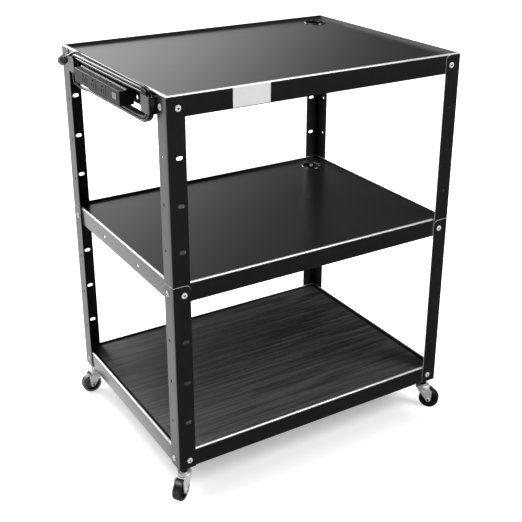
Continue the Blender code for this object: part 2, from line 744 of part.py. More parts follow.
def upper_leg(cart, corner):
    """Make an upper leg: an angle that steps in at its foot to a tongue behind the lower leg."""
    matrix = corner_matrix(*CORNERS[corner])
    name = f"upper_leg_{corner}"
    foot = SEAM + FIT_GAP
    tongue_outer = SHELF_INSET
    tongue_inner = tongue_outer + LEG_THICKNESS
    joggle = foot + JOGGLE_HEIGHT
    body, step, tongue = Shape(), Shape(), Shape()
    add_angle(body, 0.0, LEG_THICKNESS, foot, LEG_TOP)
    leg = body.mirrored(matrix).object(name)
    add_angle(step, LEG_THICKNESS / 2, tongue_inner, foot, joggle)
    cart.combine(leg, step.mirrored(matrix).object("step"), "UNION")
    add_angle(tongue, tongue_outer, tongue_inner, SEAM - TONGUE_LENGTH, foot + JOGGLE_HEIGHT / 2)
    cart.combine(leg, tongue.mirrored(matrix).object("tongue"), "UNION")
    top_bolt = FLANGE_Z["top"] + BOLT_HEIGHT
    joint_bolt = FLANGE_Z["middle"] + BOLT_HEIGHT
    holes = Shape()
    leg_holes(holes, [top_bolt - LEG_HOLE_PITCH * (i + 1) for i in range(LEG_HOLE_COUNT)])
    span = tongue_inner + OVERRUN
    holes.rod((LEG_HOLE_INSET, 0.0, joint_bolt), (LEG_HOLE_INSET, span, joint_bolt), BOLT_HOLE_DIAMETER, BOLT_SIDES)
    holes.rod((0.0, LEG_HOLE_INSET, joint_bolt), (span, LEG_HOLE_INSET, joint_bolt), BOLT_HOLE_DIAMETER, BOLT_SIDES)
    corner_cutters(holes, LEG_TOP)
    cart.combine(leg, holes.mirrored(matrix).object("holes"), "DIFFERENCE")
    bolts = Shape()
    add_bolts(bolts, top_bolt, SHELF_INSET + SHELF_THICKNESS + FIT_GAP)
    cart.combine(leg, bolts.mirrored(matrix).object("bolts"), "UNION")
    cart.keep(leg, name, "powder_coat")


def lower_leg(cart, corner):
    """Make a lower leg: an angle from the caster's corner to the seam, bolted at both shelves."""
    matrix = corner_matrix(*CORNERS[corner])
    name = f"lower_leg_{corner}"
    body = Shape()
    add_angle(body, 0.0, LEG_THICKNESS, LEG_BOTTOM, SEAM)
    leg = body.mirrored(matrix).object(name)
    foot_bolt = FLANGE_Z["bottom"] + BOLT_HEIGHT
    joint_bolt = FLANGE_Z["middle"] + BOLT_HEIGHT
    holes = Shape()
    leg_holes(holes, [foot_bolt + LEG_HOLE_PITCH * (i + 1) for i in range(LEG_HOLE_COUNT)])
    corner_cutters(holes, SEAM)
    cart.combine(leg, holes.mirrored(matrix).object("holes"), "DIFFERENCE")
    bolts = Shape()
    add_bolts(bolts, joint_bolt, 2 * SHELF_INSET + SHELF_THICKNESS + FIT_GAP)
    add_bolts(bolts, foot_bolt, SHELF_INSET + SHELF_THICKNESS + FIT_GAP + BRACKET_TAB + FIT_GAP)
    cart.combine(leg, bolts.mirrored(matrix).object("bolts"), "UNION")
    cart.keep(leg, name, "powder_coat")


# Casters


def caster_bracket(cart, corner):
    """Make the corner bracket: a plate on the hem that holds the stem, with a tab behind each flange."""
    matrix = corner_matrix(*CORNERS[corner])
    name = f"caster_bracket_{corner}"
    near = SHELF_INSET + SHELF_THICKNESS + FIT_GAP
    far = near + BRACKET_SIZE
    low, floor = BRACKET_Z, BRACKET_Z + BRACKET_PLATE
    high = low + BRACKET_TAB_HEIGHT
    bracket = Shape().box((near, near, low), (far, far, high)).mirrored(matrix).object(name)
    room = near + BRACKET_TAB
    scoop = Shape().box((room, room, floor), (far + OVERRUN, far + OVERRUN, high + OVERRUN))
    cart.combine(bracket, scoop.mirrored(matrix).object("scoop"), "DIFFERENCE")
    stem_low, stem_high = (STEM_INSET, STEM_INSET, low - OVERRUN), (STEM_INSET, STEM_INSET, floor + OVERRUN)
    holes = Shape().rod(stem_low, stem_high, STEM_HOLE_DIAMETER, TURNED_SIDES)
    height = FLANGE_Z["bottom"] + BOLT_HEIGHT
    span = room + OVERRUN
    holes.rod((LEG_HOLE_INSET, 0.0, height), (LEG_HOLE_INSET, span, height), BOLT_HOLE_DIAMETER, BOLT_SIDES)
    holes.rod((0.0, LEG_HOLE_INSET, height), (span, LEG_HOLE_INSET, height), BOLT_HOLE_DIAMETER, BOLT_SIDES)
    cart.combine(bracket, holes.mirrored(matrix).object("holes"), "DIFFERENCE")
    cart.keep(bracket, name, "powder_coat")


def stem_profile():
    """Return the stem from its threaded end down: nut, collar, upper race, ball ring, pin and rivet head."""
    rod, collar, nut = STEM_DIAMETER / 2, STEM_COLLAR_DIAMETER / 2, STEM_NUT_DIAMETER / 2
    nut_low = BRACKET_Z + BRACKET_PLATE + FIT_GAP
    ring_low = CROWN_TOP + FIT_GAP
    race_low = ring_low + BALL_RING_HEIGHT
    race_high = race_low + RACE_HEIGHT
    rivet_high = CROWN_Z - FIT_GAP
    return (
        (0.0, nut_low + STEM_NUT_HEIGHT + STEM_TAIL),
        (rod, nut_low + STEM_NUT_HEIGHT + STEM_TAIL),
        (rod, nut_low + STEM_NUT_HEIGHT),
        (nut, nut_low + STEM_NUT_HEIGHT),
        (nut, nut_low),
        (rod, nut_low),
        (rod, BRACKET_Z - FIT_GAP),
        (collar, BRACKET_Z - FIT_GAP),
        (collar, race_high),
        (RACE_RADIUS - RACE_HEIGHT / 2, race_high),
        (RACE_RADIUS, race_high - RACE_HEIGHT / 2),
        (RACE_RADIUS, race_low),
        (BALL_RING_OUTER, race_low),
        (BALL_RING_OUTER, ring_low),
        (rod, ring_low),
        (rod, rivet_high),
        (RIVET_HEAD_DIAMETER / 2, rivet_high),
        (RIVET_HEAD_DIAMETER / 2, rivet_high - RIVET_HEAD_HEIGHT / 2),
        (rod, rivet_high - RIVET_HEAD_HEIGHT),
        (0.0, rivet_high - RIVET_HEAD_HEIGHT),
    )


def crown_outline():
    """Return the plan of the fork's crown, round behind the stem and square over the wheel."""
    half = FORK_INNER_WIDTH / 2 + FORK_THICKNESS
    start = math.degrees(math.asin(half / CROWN_RADIUS))
    round_back = arc((0.0, 0.0), CROWN_RADIUS, 180 - start, 180 + start, TURNED_SIDES // 2 + 1)
    return round_back + [(CROWN_REACH, -half), (CROWN_REACH, half)]


def fork_side_outline():
    """Return the outline of one side of the fork, with X along the trail and Y up."""
    boss = arc((TRAIL, WHEEL_RADIUS), FORK_BOSS_RADIUS, -150, 0, TURNED_SIDES // 2 + 1)
    heel = [(FORK_TOE, CROWN_TOP - FORK_SHOULDER), (FORK_TOE - FORK_SHOULDER / 2, CROWN_TOP)]
    toe = [(-FORK_HEEL, CROWN_TOP), (-FORK_HEEL, CROWN_TOP - FORK_SHOULDER)]
    return boss + heel + toe


def fork(cart, name, swivel):
    """Make the fork: a crown with a hole for the stem's pin, and two sides with the axle's holes."""
    crown = Shape()
    plate = outline_mesh([crown_outline()], CROWN_THICKNESS)
    crown.add(plate, Matrix.Translation((0.0, 0.0, CROWN_Z + CROWN_THICKNESS / 2)))
    body = crown.object(name)
    sides = Shape()
    side = outline_mesh([fork_side_outline()], FORK_THICKNESS)
    middle = FORK_INNER_WIDTH / 2 + FORK_THICKNESS / 2
    for sign in (-1, 1):
        sides.add(side, Matrix.Translation((0.0, sign * middle, 0.0)) @ upright(True))
    cart.combine(body, sides.object("sides"), "UNION", swivel)
    span = middle + OVERRUN
    holes = Shape().rod((0.0, 0.0, CROWN_Z - OVERRUN), (0.0, 0.0, CROWN_TOP + OVERRUN), CROWN_HOLE_DIAMETER, TURNED_SIDES)
    holes.rod((TRAIL, -span, WHEEL_RADIUS), (TRAIL, span, WHEEL_RADIUS), AXLE_HOLE_DIAMETER, TURNED_SIDES)
    cart.combine(body, holes.object("holes"), "DIFFERENCE", swivel)
    cart.keep(body, name, "zinc", swivel)


def axle_profile():
    """Return the axle: a shank between two heads, outside the fork."""
    grip = FORK_INNER_WIDTH / 2 + FORK_THICKNESS + FIT_GAP
    shank, head = AXLE_DIAMETER / 2, AXLE_HEAD_DIAMETER / 2
    end = grip + AXLE_HEAD_HEIGHT
    upper = [(0.0, end), (head * 2 / 3, end), (head, grip + AXLE_HEAD_HEIGHT / 2), (head, grip), (shank, grip)]
    return upper + [(radius, -height) for radius, height in reversed(upper)]


def hub_profile():
    """Return the hub: a rim and a boss with a thinner web between them."""
    rim = WHEEL_RADIUS - TYRE_DEPTH - FIT_GAP
    bore, boss = HUB_BORE_DIAMETER / 2, HUB_BOSS_DIAMETER / 2
    upper = [
        (bore, HUB_WIDTH / 2),
        (boss, HUB_WIDTH / 2),
        (boss, HUB_WEB / 2),
        (rim - TYRE_EDGE, HUB_WEB / 2),
        (rim - TYRE_EDGE, HUB_WIDTH / 2),
        (rim, HUB_WIDTH / 2),
    ]
    return upper + [(radius, -height) for radius, height in reversed(upper)]


def tyre_profile():
    """Return the tyre's section, its tread's edges rounded off."""
    inner, outer, half = WHEEL_RADIUS - TYRE_DEPTH, WHEEL_RADIUS, WHEEL_WIDTH / 2
    upper = [
        (inner, half),
        (outer - TYRE_EDGE, half),
        (outer - TYRE_EDGE * TYRE_ROUND_SHARE, half - TYRE_EDGE * TYRE_ROUND_SHARE),
        (outer, half - TYRE_EDGE),
    ]
    return upper + [(radius, -height) for radius, height in reversed(upper)]


def caster(cart, corner):
    """Make one caster: its stem stands still, its fork swivels, and its wheel turns on the axle."""
    sign_x, sign_y = CORNERS[corner]
    place = (sign_x * (WIDTH / 2 - STEM_INSET), sign_y * (DEPTH / 2 - STEM_INSET), 0.0)
    swivel = cart.empty(f"swivel_{corner}", place, TRAILS[corner], cart.centre)
    axle_line = cart.empty(f"axle_line_{corner}", (TRAIL, 0.0, WHEEL_RADIUS), 0.0, swivel)
    axle_line.rotation_euler = (math.radians(90), 0.0, 0.0)
    stem = turned("stem", stem_profile(), TURNED_SIDES)
    stem.location = place
    cart.keep(stem, f"caster_stem_{corner}", "zinc")
    fork(cart, f"caster_fork_{corner}", swivel)
    axle = turned("axle", axle_profile(), TURNED_SIDES)
    cart.keep(axle, f"caster_axle_{corner}", "zinc", axle_line)
    hub = turned("hub", hub_profile(), WHEEL_SIDES, closed=True)
    cart.keep(hub, f"caster_hub_{corner}", "hub_plastic", axle_line)
    tyre = turned("tyre", tyre_profile(), WHEEL_SIDES, closed=True)
    cart.keep(tyre, f"caster_tyre_{corner}", "tyre_rubber", axle_line)


# Power strip


def strip_outline(inset):
    """Return the strip's section as (out from the cart's centre, height), drawn in by an inset."""
    back, face = STRIP_BACK + inset, STRIP_FACE - inset
    low, high = STRIP_Z + inset, STRIP_Z + STRIP_HEIGHT - inset
    step_out, step_in = STRIP_FACE - STRIP_STEP_DEPTH, STRIP_FACE - STRIP_STEP_DEPTH - STRIP_STEP_HEIGHT / 2
    return [
        (back, low),
        (face, low),
        (face, high - STRIP_STEP_HEIGHT),
        (step_out - inset, high - STRIP_STEP_HEIGHT),
        (step_in - inset, high),
        (back, high),
    ]


def along_strip(middle):
    """Return the matrix that runs a flat (out, height) outline along the strip, about this place."""
    return Matrix.Translation((0.0, middle, 0.0)) @ Matrix(((-1, 0, 0, 0), (0, 0, 1, 0), (0, 1, 0, 0), (0, 0, 0, 1)))


def outlet_places():
    """Return where the outlets' middles lie along the strip, from the back end."""
    return [STRIP_ENDS[1] - OUTLET_FIRST - OUTLET_PITCH * i for i in range(OUTLET_COUNT)]


def usb_place():
    """Return where the charging module's middle lies along the strip."""
    return STRIP_ENDS[0] + USB_FROM_END + USB_LENGTH / 2


def face_box(centre, length, height, out_low, out_high):
    """Return the corners of a box in the strip's outer face, centred along it and on its middle height."""
    z = STRIP_MIDDLE
    low = (-out_high, centre - length / 2, z - height / 2)
    return low, (-out_low, centre + length / 2, z + height / 2)


def strip_housing(cart):
    """Make the strip's hollow body with its face's cut-outs and the holes that its screws hold it by."""
    outer, inner = strip_outline(0.0), strip_outline(STRIP_WALL)
    length = STRIP_LENGTH - 2 * (END_CAP + FIT_GAP)
    body = Shape()
    body.add(outline_mesh([outer, inner], length), along_strip(STRIP_CENTRE))
    housing = body.object("housing")
    cuts = Shape()
    low, high = STRIP_FACE - STRIP_WALL - OVERRUN, STRIP_FACE + OVERRUN
    for place in outlet_places():
        cuts.box(*face_box(place, OUTLET_LENGTH + 2 * FIT_GAP, OUTLET_HEIGHT + 2 * FIT_GAP, low, high))
    cuts.box(*face_box(usb_place(), USB_LENGTH + 2 * FIT_GAP, USB_HEIGHT + 2 * FIT_GAP, low, high))
    for place in pair(STRIP_CENTRE, STRIP_SCREW_SPACING):
        start = (-STRIP_BACK + OVERRUN / 2, place, STRIP_MIDDLE)
        end = (-STRIP_BACK - STRIP_WALL - OVERRUN / 2, place, STRIP_MIDDLE)
        cuts.rod(start, end, STRIP_SCREW_HOLE, BOLT_SIDES)
    cart.combine(housing, cuts.object("face_cuts"), "DIFFERENCE")
    cart.keep(housing, "strip_housing", "strip_housing")


def end_caps(cart):
    """Close the strip's two ends. The back one has the gland's hole."""
    for name, end, inward in (("front", STRIP_ENDS[0], 1), ("back", STRIP_ENDS[1], -1)):
        body = Shape()
        body.add(outline_mesh([strip_outline(0.0)], END_CAP), along_strip(end + inward * END_CAP / 2))
        cap = body.object("cap")
        if name == "back":
            middle = (STRIP_BACK + STRIP_FACE) / 2
            start, finish = (-middle, end - END_CAP - OVERRUN, STRIP_MIDDLE), (-middle, end + OVERRUN, STRIP_MIDDLE)
            hole = Shape().rod(start, finish, GLAND_HOLE_DIAMETER, TURNED_SIDES)
            cart.combine(cap, hole.object("gland_hole"), "DIFFERENCE")
        cart.keep(cap, f"strip_end_cap_{name}", "black_plastic")


def outlets(cart):
    """Make the three outlets, each with a round ground socket over two blade slots."""
    face = STRIP_FACE + OUTLET_PROUD
    for i, place in enumerate(outlet_places(), start=1):
        block = Shape().box(*face_box(place, OUTLET_LENGTH, OUTLET_HEIGHT, face - OUTLET_DEPTH, face)).object("outlet")
        sockets = Shape()
        bottom, mouth = -(face - SOCKET_DEPTH), -(face + OVERRUN)
        ground = STRIP_MIDDLE + GROUND_RISE
        sockets.rod((bottom, place, ground), (mouth, place, ground), GROUND_DIAMETER, BOLT_SIDES)
        for side in (-1, 1):
            centre = place + side * BLADE_SPREAD / 2
            z = STRIP_MIDDLE - BLADE_DROP
            low = (mouth, centre - BLADE_WIDTH / 2, z - BLADE_HEIGHT / 2)
            sockets.box(low, (bottom, centre + BLADE_WIDTH / 2, z + BLADE_HEIGHT / 2))
        cart.combine(block, sockets.object("sockets"), "DIFFERENCE")
        cart.keep(block, f"outlet_{i}", "black_plastic")


def usb_module(cart):
    """Make the charging module: each port is a pair of slots with its contact tongue between them."""
    face = STRIP_FACE + OUTLET_PROUD
    place = usb_place()
    block = Shape().box(*face_box(place, USB_LENGTH, USB_HEIGHT, face - OUTLET_DEPTH, face)).object("usb")
    slots = Shape()
    for i in range(USB_COUNT):
        centre = place + USB_PITCH * (i - (USB_COUNT - 1) / 2)
        for side in (-1, 1):
            middle = centre + side * (USB_TONGUE + USB_SLOT_WIDTH) / 2
            slots.box(*face_box(middle, USB_SLOT_WIDTH, USB_SLOT_HEIGHT, face - SOCKET_DEPTH, face + OVERRUN))
    cart.combine(block, slots.object("slots"), "DIFFERENCE")
    cart.keep(block, "usb_module", "usb_plastic")


def bus_bars(cart):
    """Run the three conductors behind the outlets and the charging module."""
    high = STRIP_FACE + OUTLET_PROUD - OUTLET_DEPTH - FIT_GAP
    first = outlet_places()[0] + OUTLET_LENGTH / 2
    last = usb_place() - USB_LENGTH / 2
    for i, name in enumerate(("neutral", "earth", "live")):
        z = STRIP_MIDDLE + BUS_BAR_PITCH * (i - 1)
        low = (-high, last, z - BUS_BAR_HEIGHT / 2)
        bar = Shape().box(low, (-high + BUS_BAR_THICKNESS, first, z + BUS_BAR_HEIGHT / 2))
        cart.keep(bar.object("bar"), f"bus_bar_{name}", "brass")


def strip_screws(cart):
    """Hold the strip off the flange: nut inside the shelf, spacer between, head inside the strip."""
    inside = WALL - SHELF_THICKNESS - FIT_GAP
    head, shank = STRIP_SCREW_HEAD / 2, STRIP_SCREW_DIAMETER / 2
    wall_in = STRIP_BACK + STRIP_WALL + FIT_GAP
    profile = (
        (0.0, wall_in + STRIP_SCREW_HEAD_HEIGHT),
        (head, wall_in + STRIP_SCREW_HEAD_HEIGHT),
        (head, wall_in),
        (shank, wall_in),
        (shank, STRIP_BACK - FIT_GAP),
        (head, STRIP_BACK - FIT_GAP),
        (head, WALL + FIT_GAP),
        (shank, WALL + FIT_GAP),
        (shank, inside),
        (head, inside),
        (head, inside - STRIP_SCREW_HEAD_HEIGHT),
        (0.0, inside - STRIP_SCREW_HEAD_HEIGHT),
    )
    for name, place in zip(("front", "back"), pair(STRIP_CENTRE, STRIP_SCREW_SPACING)):
        screw = turned("screw", profile, BOLT_SIDES)
        screw.location = (0.0, place, STRIP_MIDDLE)
        screw.rotation_euler = (0.0, math.radians(-90), 0.0)
        cart.keep(screw, f"strip_screw_{name}", "zinc")


# Cord brackets and cord


def bracket_outline(web, inward):
    """Return the plan of a cord bracket as (out, along): a base, a web at this place and an outer plate."""
    sheet = CORD_BRACKET_SHEET
    base = WALL + FIT_GAP
    plate = base + sheet + CORD_CHANNEL
    end, inner = web + inward * CORD_BRACKET_LENGTH, web + inward * sheet
    return [
        (base, web),
        (plate + sheet, web),
        (plate + sheet, end),
        (plate, end),
        (plate, inner),
        (base + sheet, inner),
        (base + sheet, end),
        (base, end),
    ]


def cord_brackets(cart):
    """Make the two U-shaped brackets that the cord's bends sit in, each riveted to the top shelf's flange."""
    low = FLANGE_Z["top"] + CORD_BRACKET_RISE
    middle = low + CORD_BRACKET_HEIGHT / 2
    flat = Matrix(((-1, 0, 0, 0), (0, 1, 0, 0), (0, 0, 1, 0), (0, 0, 0, 1)))
    for name, web, inward in (("front", CORD_BRACKET_FRONT, 1), ("back", CORD_BRACKET_BACK, -1)):
        body = Shape()
        body.add(outline_mesh([bracket_outline(web, inward)], CORD_BRACKET_HEIGHT), Matrix.Translation((0.0, 0.0, middle)) @ flat)
        bracket = body.object("bracket")
        place = web + inward * CORD_BRACKET_LENGTH / 2
        base = WALL + FIT_GAP + CORD_BRACKET_SHEET / 2
        inside = WALL - SHELF_THICKNESS - FIT_GAP
        head, shank = STRIP_SCREW_HEAD / 2, RIVET_DIAMETER / 2
        profile = (
            (0.0, base),
            (shank, base),
            (shank, inside),
            (head, inside),
            (shank, inside - STRIP_SCREW_HEAD_HEIGHT),
            (0.0, inside - STRIP_SCREW_HEAD_HEIGHT),
        )
        rivet = turned("rivet", profile, BOLT_SIDES)
        rivet.location = (0.0, place, middle)
        rivet.rotation_euler = (0.0, math.radians(-90), 0.0)
        cart.combine(bracket, rivet, "UNION")
        if name == "back":
            notch_low = low + CORD_BRACKET_HEIGHT - CORD_NOTCH_DEPTH
            out = WALL + CORD_NOTCH_OUT
            corner = (-out - CORD_NOTCH_WIDTH / 2, web - CORD_BRACKET_SHEET - OVERRUN / 2, notch_low)
            opposite = (-out + CORD_NOTCH_WIDTH / 2, web + OVERRUN / 2, notch_low + CORD_NOTCH_DEPTH + OVERRUN)
            notch = Shape().box(corner, opposite)
            cart.combine(bracket, notch.object("notch"), "DIFFERENCE")
        cart.keep(bracket, f"cord_bracket_{name}", "strip_housing")


def gland(cart):
    """Make the strain relief that the cord comes out of at the strip's back end."""
    inner = STRIP_ENDS[1] - END_CAP - FIT_GAP
    outer = STRIP_ENDS[1] + FIT_GAP
    neck = GLAND_NECK_DIAMETER / 2
    profile = (
        (0.0, STRIP_ENDS[1] + GLAND_LENGTH),
        (GLAND_MOUTH_DIAMETER / 2, STRIP_ENDS[1] + GLAND_LENGTH),
        (GLAND_SHOULDER_DIAMETER / 2, outer + GLAND_COLLAR),
        (GLAND_DIAMETER / 2, outer + GLAND_COLLAR),
        (GLAND_DIAMETER / 2, outer),
        (neck, outer),
        (neck, inner),
        (GLAND_FLANGE_DIAMETER / 2, inner),
        (GLAND_FLANGE_DIAMETER / 2, inner - GLAND_FLANGE_HEIGHT),
        (0.0, inner - GLAND_FLANGE_HEIGHT),
    )
    relief = turned("gland", profile, TURNED_SIDES)
    relief.location = (-(STRIP_BACK + STRIP_FACE) / 2, 0.0, STRIP_MIDDLE)
    relief.rotation_euler = (math.radians(-90), 0.0, 0.0)
    cart.keep(relief, "cord_gland", "black_plastic")


def turn_place(turns):
    """Return (out, along, height) of the winding's centre line after this many turns from the bottom run's back."""
    bend = CORD_OUTER_BEND - CORD_ROW_PITCH * min(turns, CORD_TURNS - turns)
    climb = (turns - 1 - CLIMB_START_SHARE) / CLIMB_TURN_SHARE
    climb = min(1.0, max(0.0, climb))
    climb = climb * climb * (3 - 2 * climb)
    out = CORD_OUTER_LAYER + (CORD_INNER_LAYER - CORD_OUTER_LAYER) * climb
    share = turns % 1.0
    half = RUN_SHARE + BEND_SHARE
    back_half = share >= half
    share -= half * back_half
    sign = -1 if back_half else 1
    start, end = (CORD_FRONT, CORD_BACK) if back_half else (CORD_BACK, CORD_FRONT)
    if share <= RUN_SHARE:
        return out, start + (end - start) * share / RUN_SHARE, STRIP_MIDDLE - sign * bend
    angle = math.pi * (share - RUN_SHARE) / BEND_SHARE
    return out, end - sign * bend * math.sin(angle), STRIP_MIDDLE - sign * bend * math.cos(angle)


def winding_turns():
    """Return the turns at which the winding has a point: few along its runs, more round its bends."""
    run = [RUN_SHARE * i / RUN_POINTS for i in range(RUN_POINTS)]
    bend = [RUN_SHARE + BEND_SHARE * i / BEND_POINTS for i in range(BEND_POINTS)]
    half = run + bend
    whole = half + [RUN_SHARE + BEND_SHARE + share for share in half]
    first, last = CORD_START, int(CORD_TURNS) + CORD_END_SHARE
    middle = [loop + share for loop in range(int(CORD_TURNS) + 1) for share in whole]
    margin = CORD_START / 2
    return [first] + [turns for turns in middle if first + margin < turns < last - margin] + [last]


def winding_points():
    """Return the winding's points, each end running straight for one diameter."""
    places = [turn_place(turns) for turns in winding_turns()]
    first, last = places[0], places[-1]
    head = (first[0], first[1] + CORD_DIAMETER, first[2])
    tail = (last[0], last[1] + CORD_DIAMETER, last[2])
    return np.array([(-out, along, height) for out, along, height in [head, *places, tail]])


def read_along(points, step):
    """Return points about one step apart along the straight pieces between the given points."""
    along = np.concatenate([[0.0], np.cumsum(np.linalg.norm(np.diff(points, axis=0), axis=1))])
    places = np.linspace(0.0, along[-1], round(along[-1] / step) + 1)
    return np.stack([np.interp(places, along, column) for column in points.T], axis=1), places


def least_gap(points):
    """Return the least gap of a cord's jacket to itself, measured between points read closely along it."""
    fine, along = read_along(points, CORD_DIAMETER / 4)
    apart = np.linalg.norm(fine[:, None] - fine[None], axis=2)
    far = np.abs(along[:, None] - along[None]) > 3 * CORD_DIAMETER
    return float(apart[far].min()) - CORD_DIAMETER


def tube(cart, name, points, resolution):
    """Make a round cord along the points."""
    curve = bpy.data.curves.new(name, "CURVE")
    curve.dimensions = "3D"
    curve.bevel_depth = CORD_RADIUS
    curve.bevel_resolution = resolution
    curve.use_fill_caps = True
    spline = curve.splines.new("POLY")
    spline.points.add(len(points) - 1)
    for point, place in zip(spline.points, points):
        point.co = (*place, 1.0)
    spline.use_smooth = True
    obj = bpy.data.objects.new(name, curve)
    bpy.context.scene.collection.objects.link(obj)
    return cart.keep(obj, name, "cord_jacket")


def plug_neck():
    """Return where the cord enters the plug, and the direction that its blades point in."""
    place = Vector((-WALL - PLUG_OUT, CORD_BRACKET_BACK + PLUG_BACK, FLANGE_Z["top"] + PLUG_RISE))
    return place, Vector((0.0, math.cos(PLUG_TILT), -math.sin(PLUG_TILT)))


def plug(cart):
    """Make the plug: a tapered neck and a round body, with two blades and a ground pin."""
    length = PLUG_NECK_LENGTH + PLUG_BODY_LENGTH
    body = PLUG_BODY_DIAMETER / 2
    profile = (
        (0.0, length),
        (body - PLUG_CHAMFER, length),
        (body, length - PLUG_CHAMFER),
        (body, PLUG_NECK_LENGTH + PLUG_SHOULDER),
        (PLUG_SHOULDER_DIAMETER / 2, PLUG_NECK_LENGTH),
        (PLUG_NECK_DIAMETER / 2, 0.0),
        (0.0, 0.0),
    )
    body_object = turned("plug", profile, TURNED_SIDES)
    place, aim = plug_neck()
    turn = aim.to_track_quat("Z", "Y")
    frame = cart.empty("plug_frame", place, 0.0, cart.centre)
    frame.rotation_euler = turn.to_euler()
    root = length - PLUG_SHOULDER / 2
    tip = length + PLUG_PIN_LENGTH
    pins = Shape()
    for side in (-1, 1):
        x, y = side * BLADE_SPREAD / 2, BLADE_DROP
        low = (x - PLUG_BLADE_THICKNESS / 2, y - PLUG_BLADE_WIDTH / 2, root)
        pins.box(low, (x + PLUG_BLADE_THICKNESS / 2, y + PLUG_BLADE_WIDTH / 2, tip))
    pins.rod((0.0, -GROUND_RISE, root), (0.0, -GROUND_RISE, tip), PLUG_GROUND_DIAMETER, BOLT_SIDES)
    cart.combine(body_object, pins.object("pins"), "UNION", frame)
    cart.keep(body_object, "cord_plug", "black_plastic", frame)


def offsets(origin, shares):
    """Return the places at these numbers of cord diameters (out, back, up) from an origin."""
    return [origin + CORD_DIAMETER * Vector((-out, back, up)) for out, back, up in shares]


def cord(cart):
    """Make the cord: from the gland to the winding, the winding itself, and from it to the plug."""
    winding = winding_points()
    gap, straight = Vector((0.0, FIT_GAP, 0.0)), Vector((0.0, CORD_DIAMETER, 0.0))
    mouth = Vector((-(STRIP_BACK + STRIP_FACE) / 2, STRIP_ENDS[1] + GLAND_LENGTH, STRIP_MIDDLE)) + gap
    start, end = Vector(winding[0]) + gap, Vector(winding[-1]) + gap
    place, aim = plug_neck()
    entry = place - aim * FIT_GAP
    step = CORD_DIAMETER * POINT_STEP_SHARE
    lead_in = smooth_through(offsets(mouth, LEAD_IN_SHARES) + offsets(start, LEAD_IN_TAIL_SHARES), step)
    onward = [end, end + straight] + offsets(place, LEAD_OUT_SHARES) + [entry - aim * CORD_DIAMETER, entry]
    lead_out = smooth_through(onward, step)
    for name, points, resolution in (
        ("cord_lead_in", lead_in, 2),
        ("cord_winding", winding, 1),
        ("cord_lead_out", lead_out, 2),
    ):
        tube(cart, name, points, resolution)
        length = float(np.linalg.norm(np.diff(points, axis=0), axis=1).sum())
        print(f"{name}: {length:.3f} m long, {len(points)} points")
    print(f"least gap of the winding to itself: {least_gap(winding) * 1000:.2f} mm")


def main():
    """Build the whole cart."""
    clear_scene()
    cart = Cart()
    shelves(cart)
    mat(cart)
    grommet(cart, "cable_grommet_top", "top")
    grommet(cart, "cable_grommet_middle", "middle")
    label_plate(cart)
    for corner in CORNERS:
        upper_leg(cart, corner)
        lower_leg(cart, corner)
        caster_bracket(cart, corner)
        caster(cart, corner)
    strip_housing(cart)
    end_caps(cart)
    outlets(cart)
    usb_module(cart)
    bus_bars(cart)
    strip_screws(cart)
    cord_brackets(cart)
    gland(cart)
    plug(cart)
    cord(cart)


main()
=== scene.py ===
"""The looks of a three-shelf steel cart with a power strip and its wound cord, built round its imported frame.

Axes are the frame's: X runs along the cart's front, Y from front to back, Z up from the floor.
Every length is in metres, unless its name says mm or its row goes through mm().
"""

import logging
import math
from dataclasses import dataclass, field
from enum import Enum

import bmesh
import bpy
import numpy as np
from mathutils import Matrix, Quaternion, Vector


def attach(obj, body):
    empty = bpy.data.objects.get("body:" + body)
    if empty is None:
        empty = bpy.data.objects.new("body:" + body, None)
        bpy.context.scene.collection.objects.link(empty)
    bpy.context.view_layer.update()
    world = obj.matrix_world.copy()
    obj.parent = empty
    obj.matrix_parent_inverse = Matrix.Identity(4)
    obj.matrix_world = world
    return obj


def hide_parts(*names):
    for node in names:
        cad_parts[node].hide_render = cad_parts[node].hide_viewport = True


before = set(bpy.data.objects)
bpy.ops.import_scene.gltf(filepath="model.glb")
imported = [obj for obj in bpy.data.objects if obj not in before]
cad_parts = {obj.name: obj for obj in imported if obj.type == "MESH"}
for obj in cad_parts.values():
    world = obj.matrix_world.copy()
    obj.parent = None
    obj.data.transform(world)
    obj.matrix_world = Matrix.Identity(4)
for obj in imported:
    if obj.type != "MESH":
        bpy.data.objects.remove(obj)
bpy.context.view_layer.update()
LOG = logging.getLogger("cart")

Pair = tuple[float, float]
Place = tuple[float, float, float]

# The cart's own centre line, and the sizes that several sub-assemblies share
CENTRE_X = 0.0097644
HALF_WIDTH = 0.4064
HALF_DEPTH = 0.3048
SHEET_GAP = 0.0021
WALL = HALF_WIDTH - SHEET_GAP
BOLT_INSET = 0.0280
STRIP_HEIGHT = 0.9960
CABLE_HOLE = (CENTRE_X + 0.3404, 0.2388)
SHELF_LEVELS = {"top": 0.9810, "middle": 0.5420, "bottom": 0.0900}
SHELF_HEIGHT = 0.0500
LIP_DEPTH = 0.0065

# How sharply edges are kept, in degrees, and how close points count as one
SHARP = 35.0
SAME_PLACE = 1e-6
QUARTER = math.pi / 2


# Numbers to surfaces


def mm(*rows: tuple[float, ...]) -> np.ndarray:
    """Return rows that are given in millimetres as an array in metres."""
    return np.array(rows, float) / 1000


def circle(count: int) -> np.ndarray:
    """Return equal angles round a circle, from zero."""
    return np.arange(count) * 2 * math.pi / count


